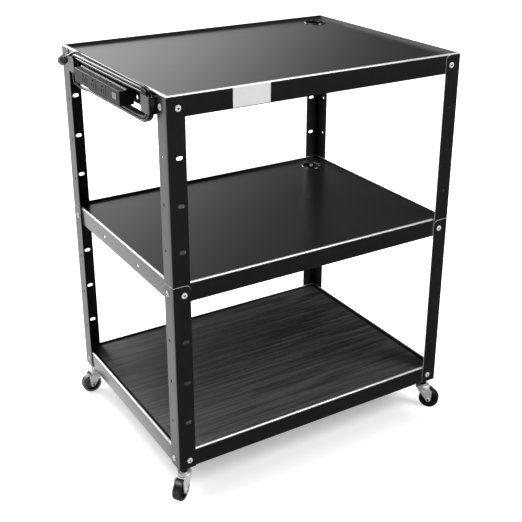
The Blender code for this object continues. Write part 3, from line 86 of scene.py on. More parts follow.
def soften(corners: np.ndarray, radius: float | tuple[float, ...], steps: int = 3, closed: bool = False) -> np.ndarray:
    """Round the corners of a line of points.

    Each corner b between its neighbours a and c becomes the quadratic Bezier curve with b as its middle point,
    from b moved by the radius towards a, to b moved by the radius towards c. The radius is kept under 0.45 of
    the shorter side there.

    Args:
        corners: The points, one row each, in two or three dimensions.
        radius: How far each curve reaches along its sides, one for all corners or one each.
        steps: How many straight steps a curve has.
        closed: Whether the last point joins the first.

    Returns:
        The rounded line's points.
    """
    corners = np.asarray(corners, float)
    back, ahead = np.roll(corners, 1, 0) - corners, np.roll(corners, -1, 0) - corners
    back_length, ahead_length = np.linalg.norm(back, axis=1), np.linalg.norm(ahead, axis=1)
    reach = np.minimum(radius, 0.45 * np.minimum(back_length, ahead_length))
    if not closed:
        reach[[0, -1]] = 0.0
    start = corners + back * (reach / back_length)[:, None]
    end = corners + ahead * (reach / ahead_length)[:, None]
    t = np.linspace(0.0, 1.0, steps + 1)[None, :, None]
    curve = (1 - t) ** 2 * start[:, None] + 2 * t * (1 - t) * corners[:, None] + t**2 * end[:, None]
    flat = curve.reshape(-1, corners.shape[1])
    return flat if closed else np.vstack([corners[:1], flat[steps + 1 : -steps - 1], corners[-1:]])


def rings(half_x: float, half_y: float, radius: float, insets: np.ndarray, steps: int = 6) -> np.ndarray:
    """Work out rounded rectangles about the origin, one for each inset.

    A corner is the quarter circle of radius (radius - inset), or the bare corner where that is below zero, and
    the sides lie at (half size - inset).

    Args:
        half_x: Half the outer size along X.
        half_y: Half the outer size along Y.
        radius: The outer corners' radius.
        insets: How far each rectangle is drawn in.
        steps: How many straight steps a corner has.

    Returns:
        Points as (insets, places round, 2).
    """
    insets = np.asarray(insets, float)[:, None]
    angles = (np.arange(4)[:, None] * QUARTER + np.linspace(0, QUARTER, steps + 1)).ravel()
    side_x, side_y = np.repeat([1, -1, -1, 1], steps + 1), np.repeat([1, 1, -1, -1], steps + 1)
    arc = np.maximum(radius - insets, 0.0)
    x = side_x * (half_x - insets - arc) + arc * np.cos(angles)
    y = side_y * (half_y - insets - arc) + arc * np.sin(angles)
    return np.stack([x, y], axis=-1)


def rounded(length: float, height: float, radius: float, centre: Pair = (0.0, 0.0)) -> np.ndarray:
    """Return a rounded rectangle's outline about a centre, as rows of (x, y)."""
    return rings(length / 2, height / 2, radius, np.zeros(1), 4)[0] + centre


def turned(profile: np.ndarray, sides: int, lobes: float | np.ndarray = 1.0) -> np.ndarray:
    """Turn a profile about Z: x = radius cos(angle), y = radius sin(angle), z = height.

    Args:
        profile: Rows of (radius, height).
        sides: How many places there are round the axis.
        lobes: Factors on the radius, one for each place round the axis, or one for each point.

    Returns:
        Points as (profile, sides, 3).
    """
    profile = np.asarray(profile, float)
    angles = circle(sides)
    radius = profile[:, :1] * (lobes * np.ones(sides))
    height = np.broadcast_to(profile[:, 1:], radius.shape)
    return np.stack([radius * np.cos(angles), radius * np.sin(angles), height], axis=-1)


def hexagon(sides: int) -> np.ndarray:
    """Return the radius factors of a hexagon: cos 30 degrees over the cosine of the angle from each flat's middle."""
    return math.cos(math.pi / 6) / np.cos(np.mod(circle(sides), math.pi / 3) - math.pi / 6)


def normals(line: np.ndarray) -> np.ndarray:
    """Return a line's unit normals: each step's direction (x, y) turned to (y, -x)."""
    ahead = np.gradient(line, axis=0)
    return np.column_stack([ahead[:, 1], -ahead[:, 0]]) / np.linalg.norm(ahead, axis=1)[:, None]


def arc(angles: np.ndarray, radius: float = 1.0) -> np.ndarray:
    """Return places on a circle: x = radius cos(angle), y = radius sin(angle)."""
    return radius * np.column_stack([np.cos(angles), np.sin(angles)])


def raised(outline: np.ndarray, height: float) -> np.ndarray:
    """Stand rows of (x, y) at a height, as rows of (x, y, z)."""
    return np.column_stack([outline, np.full(len(outline), height)])


def moved(points: np.ndarray, matrix: Matrix) -> np.ndarray:
    """Carry points by a 4 x 4 matrix: each is turned by its 3 x 3 part and then shifted."""
    table = np.array(matrix, float)
    return points @ table[:3, :3].T + table[:3, 3]


def frame_at(place: Place, aim: Place) -> Matrix:
    """Return the matrix that stands local Z along an aim at a place."""
    return Matrix.Translation(place) @ Vector(aim).to_track_quat("Z", "Y").to_matrix().to_4x4()


@dataclass
class Skin:
    """The points and faces of one piece, gathered as whole arrays before they become a mesh."""

    points: list[np.ndarray] = field(default_factory=list)
    faces: list[list[int]] = field(default_factory=list)
    tints: list[int] = field(default_factory=list)
    count: int = 0

    def grid(self, points: np.ndarray, wrap: bool = False, loop: bool = False, tint: int | np.ndarray = 0) -> "Skin":
        """Add a grid of points as four-sided faces.

        Args:
            points: The grid as (rows, columns, 3).
            wrap: Whether the last column joins the first.
            loop: Whether the last row joins the first.
            tint: Which of the piece's materials the faces take, one for all or one each.

        Returns:
            This skin.
        """
        rows, columns = points.shape[:2]
        index = np.arange(rows * columns).reshape(rows, columns) + self.count
        index = np.hstack([index, index[:, :1]]) if wrap else index
        index = np.vstack([index, index[:1]]) if loop else index
        quads = np.stack([index[:-1, :-1], index[1:, :-1], index[1:, 1:], index[:-1, 1:]], axis=-1).reshape(-1, 4)
        self.points.append(points.reshape(-1, 3))
        self.faces += quads.tolist()
        self.tints += np.broadcast_to(tint, len(quads)).tolist()
        self.count += rows * columns
        return self

    def cap(self, outline: np.ndarray, tint: int = 0) -> "Skin":
        """Close a flat outline, given as rows of (x, y, z), with one face.

        Args:
            outline: The outline's points.
            tint: Which of the piece's materials the face takes.

        Returns:
            This skin.
        """
        self.points.append(outline)
        self.faces.append(list(range(self.count, self.count + len(outline))))
        self.tints.append(tint)
        self.count += len(outline)
        return self

    def slab(self, outline: np.ndarray, low: float, high: float, matrix: Matrix, tint: int = 0) -> "Skin":
        """Add a plate: a closed outline between two heights, carried by a matrix.

        Args:
            outline: Rows of (x, y).
            low: The plate's underside.
            high: Its top.
            matrix: The matrix from the plate's axes to the frame's.
            tint: Which of the piece's materials the faces take.

        Returns:
            This skin.
        """
        levels = [moved(raised(outline, z), matrix) for z in (low, high)]
        self.grid(np.stack(levels), wrap=True, tint=tint)
        return self.cap(levels[0], tint).cap(levels[1], tint)

    def lathe(
        self, profile: np.ndarray, sides: int, matrix: Matrix, lobes: float | np.ndarray = 1.0, **how: bool | int
    ) -> "Skin":
        """Add a profile turned about a matrix's Z axis, with turned()'s lobes and grid()'s loop and tint."""
        return self.grid(moved(turned(profile, sides, lobes), matrix), wrap=True, **how)

    def rod(self, start: Place, way: Place, radius: float, sides: int = 24) -> "Skin":
        """Add a straight rod with flat ends, from a start along a way."""
        length = Vector(way).length
        return self.lathe([(0, 0), (radius, 0), (radius, length), (0, length)], sides, frame_at(start, way))

    def mesh(self, name: str, angle: float = SHARP) -> bpy.types.Mesh:
        """Make the mesh: doubles merged, faces turned outwards, smooth but for its sharp edges.

        Args:
            name: The mesh's name.
            angle: How sharp an edge has to be to stay one, in degrees.

        Returns:
            The mesh, with one empty material slot for each tint.
        """
        mesh = bpy.data.meshes.new(name)
        mesh.from_pydata(np.concatenate(self.points).tolist(), [], self.faces)
        for _ in range(max(self.tints) + 1):
            mesh.materials.append(None)
        mesh.polygons.foreach_set("material_index", np.array(self.tints, np.int32))
        shape = bmesh.new()
        shape.from_mesh(mesh)
        bmesh.ops.remove_doubles(shape, verts=shape.verts, dist=SAME_PLACE)
        bmesh.ops.dissolve_degenerate(shape, edges=shape.edges, dist=SAME_PLACE / 10)
        bmesh.ops.recalc_face_normals(shape, faces=shape.faces)
        shape.to_mesh(mesh)
        shape.free()
        shade(mesh, angle)
        return mesh


def shade(mesh: bpy.types.Mesh, angle: float = SHARP) -> None:
    """Shade a mesh smooth and keep the edges sharper than an angle, in degrees, as edges."""
    mesh.shade_smooth()
    mesh.set_sharp_from_angle(angle=math.radians(angle))


def stand(name: str, data: bpy.types.ID) -> bpy.types.Object:
    """Make an object of some data and put it in the scene."""
    bpy.context.scene.collection.objects.link(obj := bpy.data.objects.new(name, data))
    return obj


def carve(mesh: bpy.types.Mesh, tool: Skin) -> bpy.types.Mesh:
    """Cut a closed tool out of a closed mesh, exactly.

    Args:
        mesh: The mesh, which is used up.
        tool: What is cut out of it.

    Returns:
        The new mesh, in the old one's name.
    """
    name, cutter = mesh.name, tool.mesh("cutter")
    body, knife = stand("body", mesh), stand("knife", cutter)
    cut = body.modifiers.new("cut", "BOOLEAN")
    cut.operation, cut.solver, cut.object = "DIFFERENCE", "EXACT", knife
    result = bpy.data.meshes.new_from_object(body.evaluated_get(bpy.context.evaluated_depsgraph_get()))
    for obj in (body, knife):
        bpy.data.objects.remove(obj)
    for old in (cutter, mesh):
        bpy.data.meshes.remove(old)
    result.name = name
    shade(result)
    return result


# Finishes


def linear(code: str) -> tuple[float, float, float, float]:
    """Turn an sRGB hex colour to linear: c / 12.92 below 0.04045, else ((c + 0.055) / 1.055) to the power 2.4."""
    parts = [int(code[i : i + 2], 16) / 255 for i in (1, 3, 5)]
    return (*[c / 12.92 if c <= 0.04045 else ((c + 0.055) / 1.055) ** 2.4 for c in parts], 1.0)


def add_node(tree: bpy.types.NodeTree, kind: str, links: dict | None = None, **settings: str) -> bpy.types.Node:
    """Add a node with its settings, and link or set its sockets.

    Args:
        tree: The node tree that it goes in.
        kind: The node's type, without "ShaderNode".
        links: Each socket's name or number, with a socket to link or a value to set.
        settings: The node's own properties.

    Returns:
        The new node.
    """
    node = tree.nodes.new(f"ShaderNode{kind}")
    for name, value in settings.items():
        setattr(node, name, value)
    for name, value in (links or {}).items():
        if isinstance(value, bpy.types.NodeSocket):
            tree.links.new(value, node.inputs[name])
        else:
            node.inputs[name].default_value = value
    return node


class Grain(Enum):
    """How a surface is broken up, each with its noise's detail and how far it is drawn out along X."""

    PEEL = (2.0, 1.0)
    SPARK = (4.0, 1.0)
    DRAWN = (3.0, 30.0)


@dataclass(frozen=True)
class Finish:
    """One real finish: what it is made of, its two sRGB colours, its gloss and its grain."""

    name: str
    colour: str
    shade: str
    roughness: float
    grain: Grain = Grain.SPARK
    grain_mm: float = 1.5
    relief_mm: float = 0.01
    metallic: float = 0.0
    specular: float = 0.5
    coat: float = 0.0
    patch_mm: float = 60.0
    gloss_spread: float = 0.04
    contrast: float = 1.0
    noise_reach: float = 0.3
    bump: float = 0.6
    least_gloss: float = 0.02

    def material(self) -> bpy.types.Material:
        """Build the material once, and hand out the same one after that.

        Returns:
            The material, whose colour and roughness follow the sum of a fine and a coarse noise round 1.
        """
        known = bpy.data.materials.get(self.name)
        if known:
            return known
        made = bpy.data.materials.new(self.name)
        made.use_nodes = True
        tree = made.node_tree
        detail, drawn = self.grain.value
        place = add_node(tree, "TexCoord").outputs["Object"]
        spread = add_node(tree, "Mapping", {"Vector": place, "Scale": (1.0 / drawn, 1.0, 1.0)}).outputs[0]
        grain, patch = (
            add_node(tree, "TexNoise", {"Vector": vector, "Scale": 1000 / size_mm, "Detail": level}).outputs[0]
            for vector, size_mm, level in ((spread, self.grain_mm, detail), (place, self.patch_mm, 3.0))
        )
        mixed = add_node(tree, "Math", {0: grain, 1: patch}, operation="ADD").outputs[0]
        reach = self.noise_reach / self.contrast
        share = add_node(tree, "MapRange", {"Value": mixed, "From Min": 1 - reach, "From Max": 1 + reach}).outputs[0]
        tone = add_node(tree, "Mix", {0: share, 6: linear(self.colour), 7: linear(self.shade)}, data_type="RGBA")
        ends = {"From Min": 1 - self.noise_reach, "From Max": 1 + self.noise_reach}
        ends["To Min"] = max(self.least_gloss, self.roughness - self.gloss_spread)
        ends["To Max"] = self.roughness + self.gloss_spread
        gloss = add_node(tree, "MapRange", {"Value": mixed, **ends}).outputs[0]
        bump = add_node(tree, "Bump", {"Height": grain, "Distance": self.relief_mm / 1000, "Strength": self.bump})
        sockets = tree.nodes["Principled BSDF"].inputs
        for name, value in (("Base Color", tone.outputs[2]), ("Roughness", gloss), ("Normal", bump.outputs[0])):
            tree.links.new(value, sockets[name])
        sockets["Metallic"].default_value = self.metallic
        sockets["Specular IOR Level"].default_value = self.specular
        sockets["Coat Weight"].default_value = self.coat
        sockets["Coat Roughness"].default_value = max(0.05, self.roughness - 0.1)
        return made


# Each finish: name, the two colours, roughness, grain, its size and its relief in mm, and then what else differs.

# Polyester powder coat on steel: a deep black with a soft orange-peel skin, so its highlights are broad and grey.
# The real peel is 1 to 2 mm across. It is drawn at 4 mm so that it shows as the photograph's faint mottle.
LEG_COAT = Finish(
    "powder_coated_steel_legs", "#151516", "#1B1B1C", 0.36, Grain.PEEL, 4.0, 0.05, specular=0.85, coat=0.6
)
# The same coat on the shelves, flatter and with an even gloss, so the decks carry one long clean reflection.
SHELF_COAT = Finish(
    "powder_coated_steel_shelves", "#131314", "#181819", 0.3, Grain.PEEL, 4.0, 0.005, specular=1, coat=1, gloss_spread=0
)
# Painted shade on the insides of lips and angles: the coat's black kept dull, with hardly any gloss, so these faces
# stay dark.
DULL_COAT_PAINTED_SHADE = Finish("inner_coat_painted_shade", "#1E1E1F", "#262627", 0.60, Grain.PEEL, 3.0, 0.03, specular=0.2)
# Painted reflection on the top shelf's right lip: the coat as a dull dark grey, for the light that the lip reflects.
GREY_COAT_PAINTED_REFLECTION = Finish("right_lip_coat_painted_reflection", "#545456", "#5E5E60", 0.50, Grain.PEEL, 3.0, 0.02)
# Painted highlight on the shelves' rounded rims: the coat as a pale white with some metal, so each rim shows a bright
# line.
RIM_PAINTED_HIGHLIGHT = Finish("rim_coat_painted_highlight", "#FCFCFD", "#ECECEE", 0.24, metallic=0.35)
# Painted highlight on the legs' ends and one free edge: a pale, nearly matt white line on the black coat.
SAWN_END_PAINTED_HIGHLIGHT = Finish("leg_end_coat_painted_highlight", "#F2F2F4", "#DCDCDE", 0.35, metallic=0.1)
# Zinc plating on pressed steel: pale metal whose bright reflection is painted in as a near-white, mostly matt colour,
# with a little metal sheen and a random mottle.
ZINC_PAINTED_SHEEN = Finish(
    "zinc_plate_painted_sheen", "#FFFFFF", "#E8EAEC", 0.24, metallic=0.12, specular=0.8, patch_mm=8.0, gloss_spread=0.06
)
# The same plating on the screws and axle nuts, its reflection painted in as plain white with no metal, so it shows
# bright on any side.
SCREW_WHITE_PAINTED_SHEEN = Finish("screw_zinc_painted_white_sheen", "#FFFFFF", "#F2F3F4", 0.30, patch_mm=8.0)
# Painted shade in a bolt's cross recess and on the axle's end: a dull dark grey.
RECESS_PAINTED_SHADE = Finish("recess_painted_shade_grey", "#3A3B3D", "#48494B", 0.50, Grain.SPARK, 1.0, metallic=0.2)
# Black oxide on the turned stem above its races: nearly black steel with an oily sheen, its black also standing in as
# painted shade under the shelf, which sets the bright fork off.
OXIDE_BLACK_AND_PAINTED_SHADE = Finish("black_oxide_stem_with_painted_shade", "#121213", "#1E1E20", 0.30, Grain.SPARK, 1.0, metallic=0.3, patch_mm=6.0)
# Moulded rubber tyre: a dull black with a faint greyish bloom on the tread.
TYRE = Finish("moulded_rubber_tyre", "#101010", "#1A1A1A", 0.34, Grain.SPARK, 1.2, 0.03, specular=0.9, patch_mm=15.0)
# Moulded nylon hub: black, with fewer and softer highlights than the tyre's.
NYLON = Finish("moulded_nylon", "#141415", "#1B1B1C", 0.34, Grain.SPARK, 1.0, patch_mm=12.0)
# Painted steel case of the power strip: a satin charcoal, lighter than the cart's own coat.
STRIP_COAT = Finish("satin_charcoal_paint", "#18181A", "#222224", 0.42, Grain.PEEL, 2.0, 0.02, specular=0.35)
# Moulded ABS of outlets and caps: black with a fine spark-eroded texture.
ABS = Finish("moulded_black_abs", "#121213", "#191919", 0.42, Grain.SPARK, 0.8, patch_mm=20.0)
# The same ABS polished, on the grommets: a hard, small highlight runs round each ring.
GLOSS_ABS = Finish(
    "polished_black_abs", "#121213", "#181818", 0.16, Grain.SPARK, 0.8, 0.002, specular=0.9, coat=0.5, patch_mm=20.0
)
# Moulded white polycarbonate of the charging ports: a clean, slightly warm white.
PORT_WHITE = Finish("moulded_white_polycarbonate", "#F2F2F0", "#E6E6E4", 0.32, Grain.SPARK, 0.8, 0.005)
# Brass strip inside the power strip: yellow metal, drawn lengthwise.
BRASS = Finish("drawn_brass", "#C9A55A", "#B08D45", 0.30, Grain.DRAWN, 0.6, metallic=1.0)
# Plasticised PVC cord jacket: black and smooth, with a wet-looking highlight along it.
JACKET = Finish("pvc_cord_jacket", "#0B0B0C", "#121213", 0.16, specular=0.45, patch_mm=20.0)
# Moulded PVC of the plug and the strain relief: a dull charcoal, lighter than the jacket.
PLUG_PVC = Finish("moulded_pvc_plug", "#38383A", "#424244", 0.38, Grain.SPARK, 0.8, 0.02, patch_mm=12.0)
# Nickel-plated brass blades: warm grey metal.
NICKEL = Finish("nickel_plated_brass", "#A09C93", "#7E7A72", 0.24, Grain.DRAWN, 0.5, 0.005, metallic=1.0)
# White painted aluminium plate, left blank: an even white with a soft sheen.
PLATE_PAINT = Finish("white_painted_aluminium", "#FFFFFF", "#FBFBFA", 0.30, Grain.PEEL, 2.0, specular=0.8, coat=0.3)
# Ribbed SBR rubber mat: charcoal and matt, with fine streaks along its ribs, which are the ribs' light and shade
# painted in.
# The ribs are 4 mm apart, too fine to show from where the camera stands, so the streaks are drawn at 7 mm.
MAT_RUBBER = Finish(
    "ribbed_sbr_rubber", "#121213", "#48484A", 0.42, Grain.DRAWN, 7.0, 0.10, specular=0.8, patch_mm=2000.0, contrast=1.9
)
# The mat's plain edge band, smoother than its ribs and near black: a painted shadow for the gap along the lip.
MAT_EDGE_PAINTED_SHADOW = Finish("mat_edge_band_painted_shadow", "#070707", "#0B0B0B", 0.75, Grain.SPARK, 1.5, 0.02, specular=0.1)


# Pieces


def piece(
    name: str,
    skin: Skin,
    finishes: tuple[Finish, ...],
    slot: str,
    node: str = "",
    body: str = "cart",
    tool: Skin | None = None,
    angle: float = SHARP,
    edge: float = 0.0,
) -> bpy.types.Object:
    """Make a finished object of a skin, and tie it to the frame.

    Args:
        name: The piece's name.
        skin: Its points and faces, in the frame's axes.
        finishes: Its finishes, in the order of the skin's tints.
        slot: The record's material slot; not used.
        node: The node that it stands for, if there is one.
        body: The body that it moves with.
        tool: What is cut out of it.
        angle: How sharp an edge has to be to stay one, in degrees.
        edge: The width of a bevel on its sharp edges, if it has one.

    Returns:
        The object.
    """
    mesh = skin.mesh(name, angle)
    if tool and tool.count:
        mesh = carve(mesh, tool)
    obj = stand(name, mesh)
    tints = np.empty(len(mesh.polygons), np.int32)
    mesh.polygons.foreach_get("material_index", tints)
    mesh.materials.clear()
    for finish in finishes:
        mesh.materials.append(finish.material())
    mesh.polygons.foreach_set("material_index", tints)
    if edge:
        bevel = obj.modifiers.new("edges", "BEVEL")
        bevel.width, bevel.segments, bevel.limit_method = edge, 2, "ANGLE"
        bevel.angle_limit, bevel.harden_normals = math.radians(40), True
    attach(obj, body)
    if node:
        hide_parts(node)
    LOG.info("%s: %d faces on %s", name, len(mesh.polygons), body)
    return obj


def dress(node: str, finish: Finish) -> None:
    """Give a node whose shape stays its procedural finish.

    Args:
        node: The node's name.
        finish: Its finish.
    """
    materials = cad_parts[node].data.materials
    materials.clear()
    materials.append(finish.material())
    LOG.info("%s: %s", node, finish.name)


class Corner(Enum):
    """The cart's four corners: their names, the signs of their sides and the direction that the caster trails in."""

    FRONT_LEFT = ("front_left", -1, -1, 215.0)
    FRONT_RIGHT = ("front_right", 1, -1, -49.0)
    BACK_LEFT = ("back_left", -1, 1, 180.0)
    BACK_RIGHT = ("back_right", 1, 1, 49.0)

    @property
    def label(self) -> str:
        """Return the corner's name in the frame."""
        return self.value[0]

    def matrix(self) -> Matrix:
        """Return the matrix from inward distances (u along X, v along Y, height) to the frame's axes."""
        _, x, y, _ = self.value
        return Matrix.LocRotScale((CENTRE_X + x * HALF_WIDTH, y * HALF_DEPTH, 0), None, (-x, -y, 1))


def axes(x: Place, y: Place, z: Place, origin: Place = (0.0, 0.0, 0.0)) -> Matrix:
    """Return the matrix whose local X, Y and Z run along three directions from an origin."""
    return Matrix([*zip(x, y, z, origin), (0, 0, 0, 1)])


# From a flat outline and its depth to the frame, or to a corner's inward distances
INWARD_V = axes((1, 0, 0), (0, 0, -1), (0, 1, 0))
INWARD_U = axes((0, 0, -1), (0, 1, 0), (1, 0, 0))
FACE_U = axes((1, 0, 0), (0, 0, 1), (0, 1, 0))
FACE_V = axes((0, 1, 0), (0, 0, 1), (1, 0, 0))
ON_STRIP = axes((0, 1, 0), (0, 0, 1), (-1, 0, 0), (CENTRE_X, 0, STRIP_HEIGHT))
ON_FRONT = axes((1, 0, 0), (0, 0, 1), (0, -1, 0), (CENTRE_X, 0, 0))
IN_PLAN = axes((-1, 0, 0), (0, 1, 0), (0, 0, 1), (CENTRE_X, 0, 0))


SMOOTH = {"interpolation_type": "SMOOTHSTEP"}


def rise(value: bpy.types.NodeSocket, ends: Pair, least: float) -> dict[str, bpy.types.NodeSocket | float]:
    """Return the links of a rise from a least result at one end to 1 at the other."""
    return {"Value": value, "From Min": ends[0], "From Max": ends[1], "To Min": least}


@dataclass
class Studio:
    """The camera at the photograph's angle, the floor, the backdrop and the soft lights.

    Gloss sees both floor and backdrop white behind and to the left of the cart, and dim in front of it.
    """

    azimuth: float = -31.31
    elevation: float = 22.33
    distance: float = 2.552
    target: Place = (0.0158, 0.0, 0.568)
    lens: float = 64.68
    shift: Pair = (0.0033, -0.0843)
    floor_size: float = 12.0
    floor_tone: str = "#F4F4F4"
    floor_lift: float = 0.40
    shadow_half: Place = (0.345, 0.335, 0.0)
    lift_band: Pair = (-0.06, 0.16)
    far_side: float = 0.05
    floor_glow_band: Pair = (-0.1, 0.5)
    backdrop_aim: Place = (-0.53, 0.85, -0.5)
    backdrop_band: Pair = (0.19, 0.60)
    lamps: tuple[tuple[str, Place, float, float], ...] = (
        ("key", (0.40, -0.58, 0.71), 3.2, 230.0),
        ("top", (-0.22, 0.28, 0.93), 4.0, 190.0),
        ("rim", (-0.22, 0.91, 0.35), 3.2, 190.0),
    )
    lamp_middle: Place = (0.0, 0.0, 0.5)
    lamp_distance: float = 6.0

    def build(self) -> None:
        """Make everything that stands round the cart."""
        self.camera()
        self.floor()
        self.world()
        for name, aim, size, power in self.lamps:
            self.lamp(name, aim, size, power)

    def aim(self, obj: bpy.types.Object, place: Vector, turn: Quaternion) -> None:
        """Stand a camera or a lamp at a place, turned."""
        obj.location, obj.rotation_mode, obj.rotation_quaternion = place, "QUATERNION", turn

    def camera(self) -> None:
        """Stand the camera on its line of sight."""
        data = bpy.data.cameras.new("camera")
        data.lens, data.sensor_width = self.lens, 36.0
        data.shift_x, data.shift_y = self.shift
        data.clip_start, data.clip_end = 0.05, 100.0
        a, e = math.radians(self.azimuth), math.radians(self.elevation)
        back = Vector((math.sin(a) * math.cos(e), -math.cos(a) * math.cos(e), math.sin(e)))
        place = Vector(self.target) + back * self.distance
        bpy.context.scene.camera = stand("camera", data)
        self.aim(bpy.context.scene.camera, place, (-back).to_track_quat("-Z", "Y"))

    def lamp(self, name: str, aim: Place, size: float, power: float) -> None:
        """Hang a soft box in a direction from the cart's middle, facing it.

        Args:
            name: The lamp's name.
            aim: The direction that it hangs in.
            size: The disk's diameter.
            power: Its power in watts.
        """
        data = bpy.data.lights.new(name, "AREA")
        data.shape, data.size, data.energy = "DISK", size, power
        way = Vector(aim).normalized()
        place = Vector(self.lamp_middle) + way * self.lamp_distance
        obj = stand(name, data)
        self.aim(obj, place, way.to_track_quat("Z", "Y"))
        obj.visible_camera = False

    def floor(self) -> None:
        """Lay a pale floor. The camera sees it lifted to white past the cart's shadow, which gives no light."""
        far = self.floor_size
        corners = [[(-far, -far, 0.0), (far, -far, 0.0)], [(-far, far, 0.0), (far, far, 0.0)]]
        mesh = Skin().grid(np.array(corners)).mesh("floor")
        stand("floor", mesh)
        made = bpy.data.materials.new("studio_paper_floor")
        made.use_nodes = True
        tree = made.node_tree
        shader = tree.nodes["Principled BSDF"]
        for name, value in (("Base Color", linear(self.floor_tone)), ("Roughness", 0.9), ("Specular IOR Level", 0.0)):
            shader.inputs[name].default_value = value
        place = add_node(tree, "TexCoord").outputs["Object"]
        split = add_node(tree, "SeparateXYZ", {0: place}).outputs
        across = add_node(tree, "Math", {0: split[1], 1: split[0]}, operation="SUBTRACT").outputs[0]
        bright = add_node(tree, "MapRange", rise(across, self.floor_glow_band, self.far_side), **SMOOTH).outputs[0]
        glow = add_node(tree, "Emission", {"Color": (1, 1, 1, 1), "Strength": bright}).outputs[0]
        mirrored = add_node(tree, "VectorMath", {0: place}, operation="ABSOLUTE").outputs[0]
        past = add_node(tree, "VectorMath", {0: mirrored, 1: self.shadow_half}, operation="SUBTRACT").outputs[0]
        sides = add_node(tree, "SeparateXYZ", {0: past}).outputs
        away = add_node(tree, "Math", {0: sides[0], 1: sides[1]}, operation="MAXIMUM").outputs[0]
        white = add_node(tree, "MapRange", rise(away, self.lift_band, self.floor_lift), **SMOOTH).outputs[0]
        path = add_node(tree, "LightPath").outputs
        lift = add_node(tree, "Math", {0: path["Is Camera Ray"], 1: white}, operation="MULTIPLY").outputs[0]
        tree.links.new(lift, shader.inputs["Emission Strength"])
        mix = add_node(tree, "MixShader", {0: path["Is Glossy Ray"], 1: shader.outputs[0], 2: glow})
        tree.links.new(mix.outputs[0], tree.nodes["Material Output"].inputs["Surface"])
        made.cycles.emission_sampling = "NONE"
        mesh.materials[0] = made

    def world(self) -> None:
        """Make the backdrop white to the camera, and as a light bright behind and to the left and dim in front."""
        world = bpy.data.worlds.new("studio")
        world.use_nodes = True
        tree = world.node_tree
        tree.nodes.clear()
        view = add_node(tree, "TexCoord").outputs["Generated"]
        across = add_node(tree, "VectorMath", {0: view, 1: self.backdrop_aim}, operation="DOT_PRODUCT").outputs["Value"]
        share = add_node(tree, "MapRange", rise(across, self.backdrop_band, self.far_side), **SMOOTH).outputs[0]
        path = add_node(tree, "LightPath").outputs
        rays = {0: path["Is Camera Ray"], 1: path["Is Transmission Ray"]}
        shown = add_node(tree, "Math", rays, operation="MAXIMUM").outputs[0]
        strength = add_node(tree, "Mix", {0: shown, 2: share, 3: 1.0}).outputs[0]
        glow = add_node(tree, "Background", {"Color": (1, 1, 1, 1), "Strength": strength}).outputs[0]
        tree.links.new(glow, add_node(tree, "OutputWorld").inputs["Surface"])
        bpy.context.scene.world = world
        bpy.context.scene.view_settings.view_transform = "Standard"


# The cord


def through(points: np.ndarray, steps: int) -> np.ndarray:
    """Run a Catmull-Rom curve through points: between b and c, with a before and d after, the place at t is half of
    2b + (c - a) t + (2a - 5b + 4c - d) t^2 + (3b - a - 3c + d) t^3.

    Args:
        points: The points, one row each.
        steps: How many steps there are between two points.

    Returns:
        The curve's points.
    """
    knots = np.vstack([2 * points[0] - points[1], points, 2 * points[-1] - points[-2]])
    a, b, c, d = (knots[i : len(knots) - 3 + i, None] for i in range(4))
    t = (np.arange(steps) / steps)[None, :, None]
    curve = (2 * b + (c - a) * t + (2 * a - 5 * b + 4 * c - d) * t**2 + (3 * b - a - 3 * c + d) * t**3) / 2
    return np.vstack([curve.reshape(-1, 3), points[-1:]])


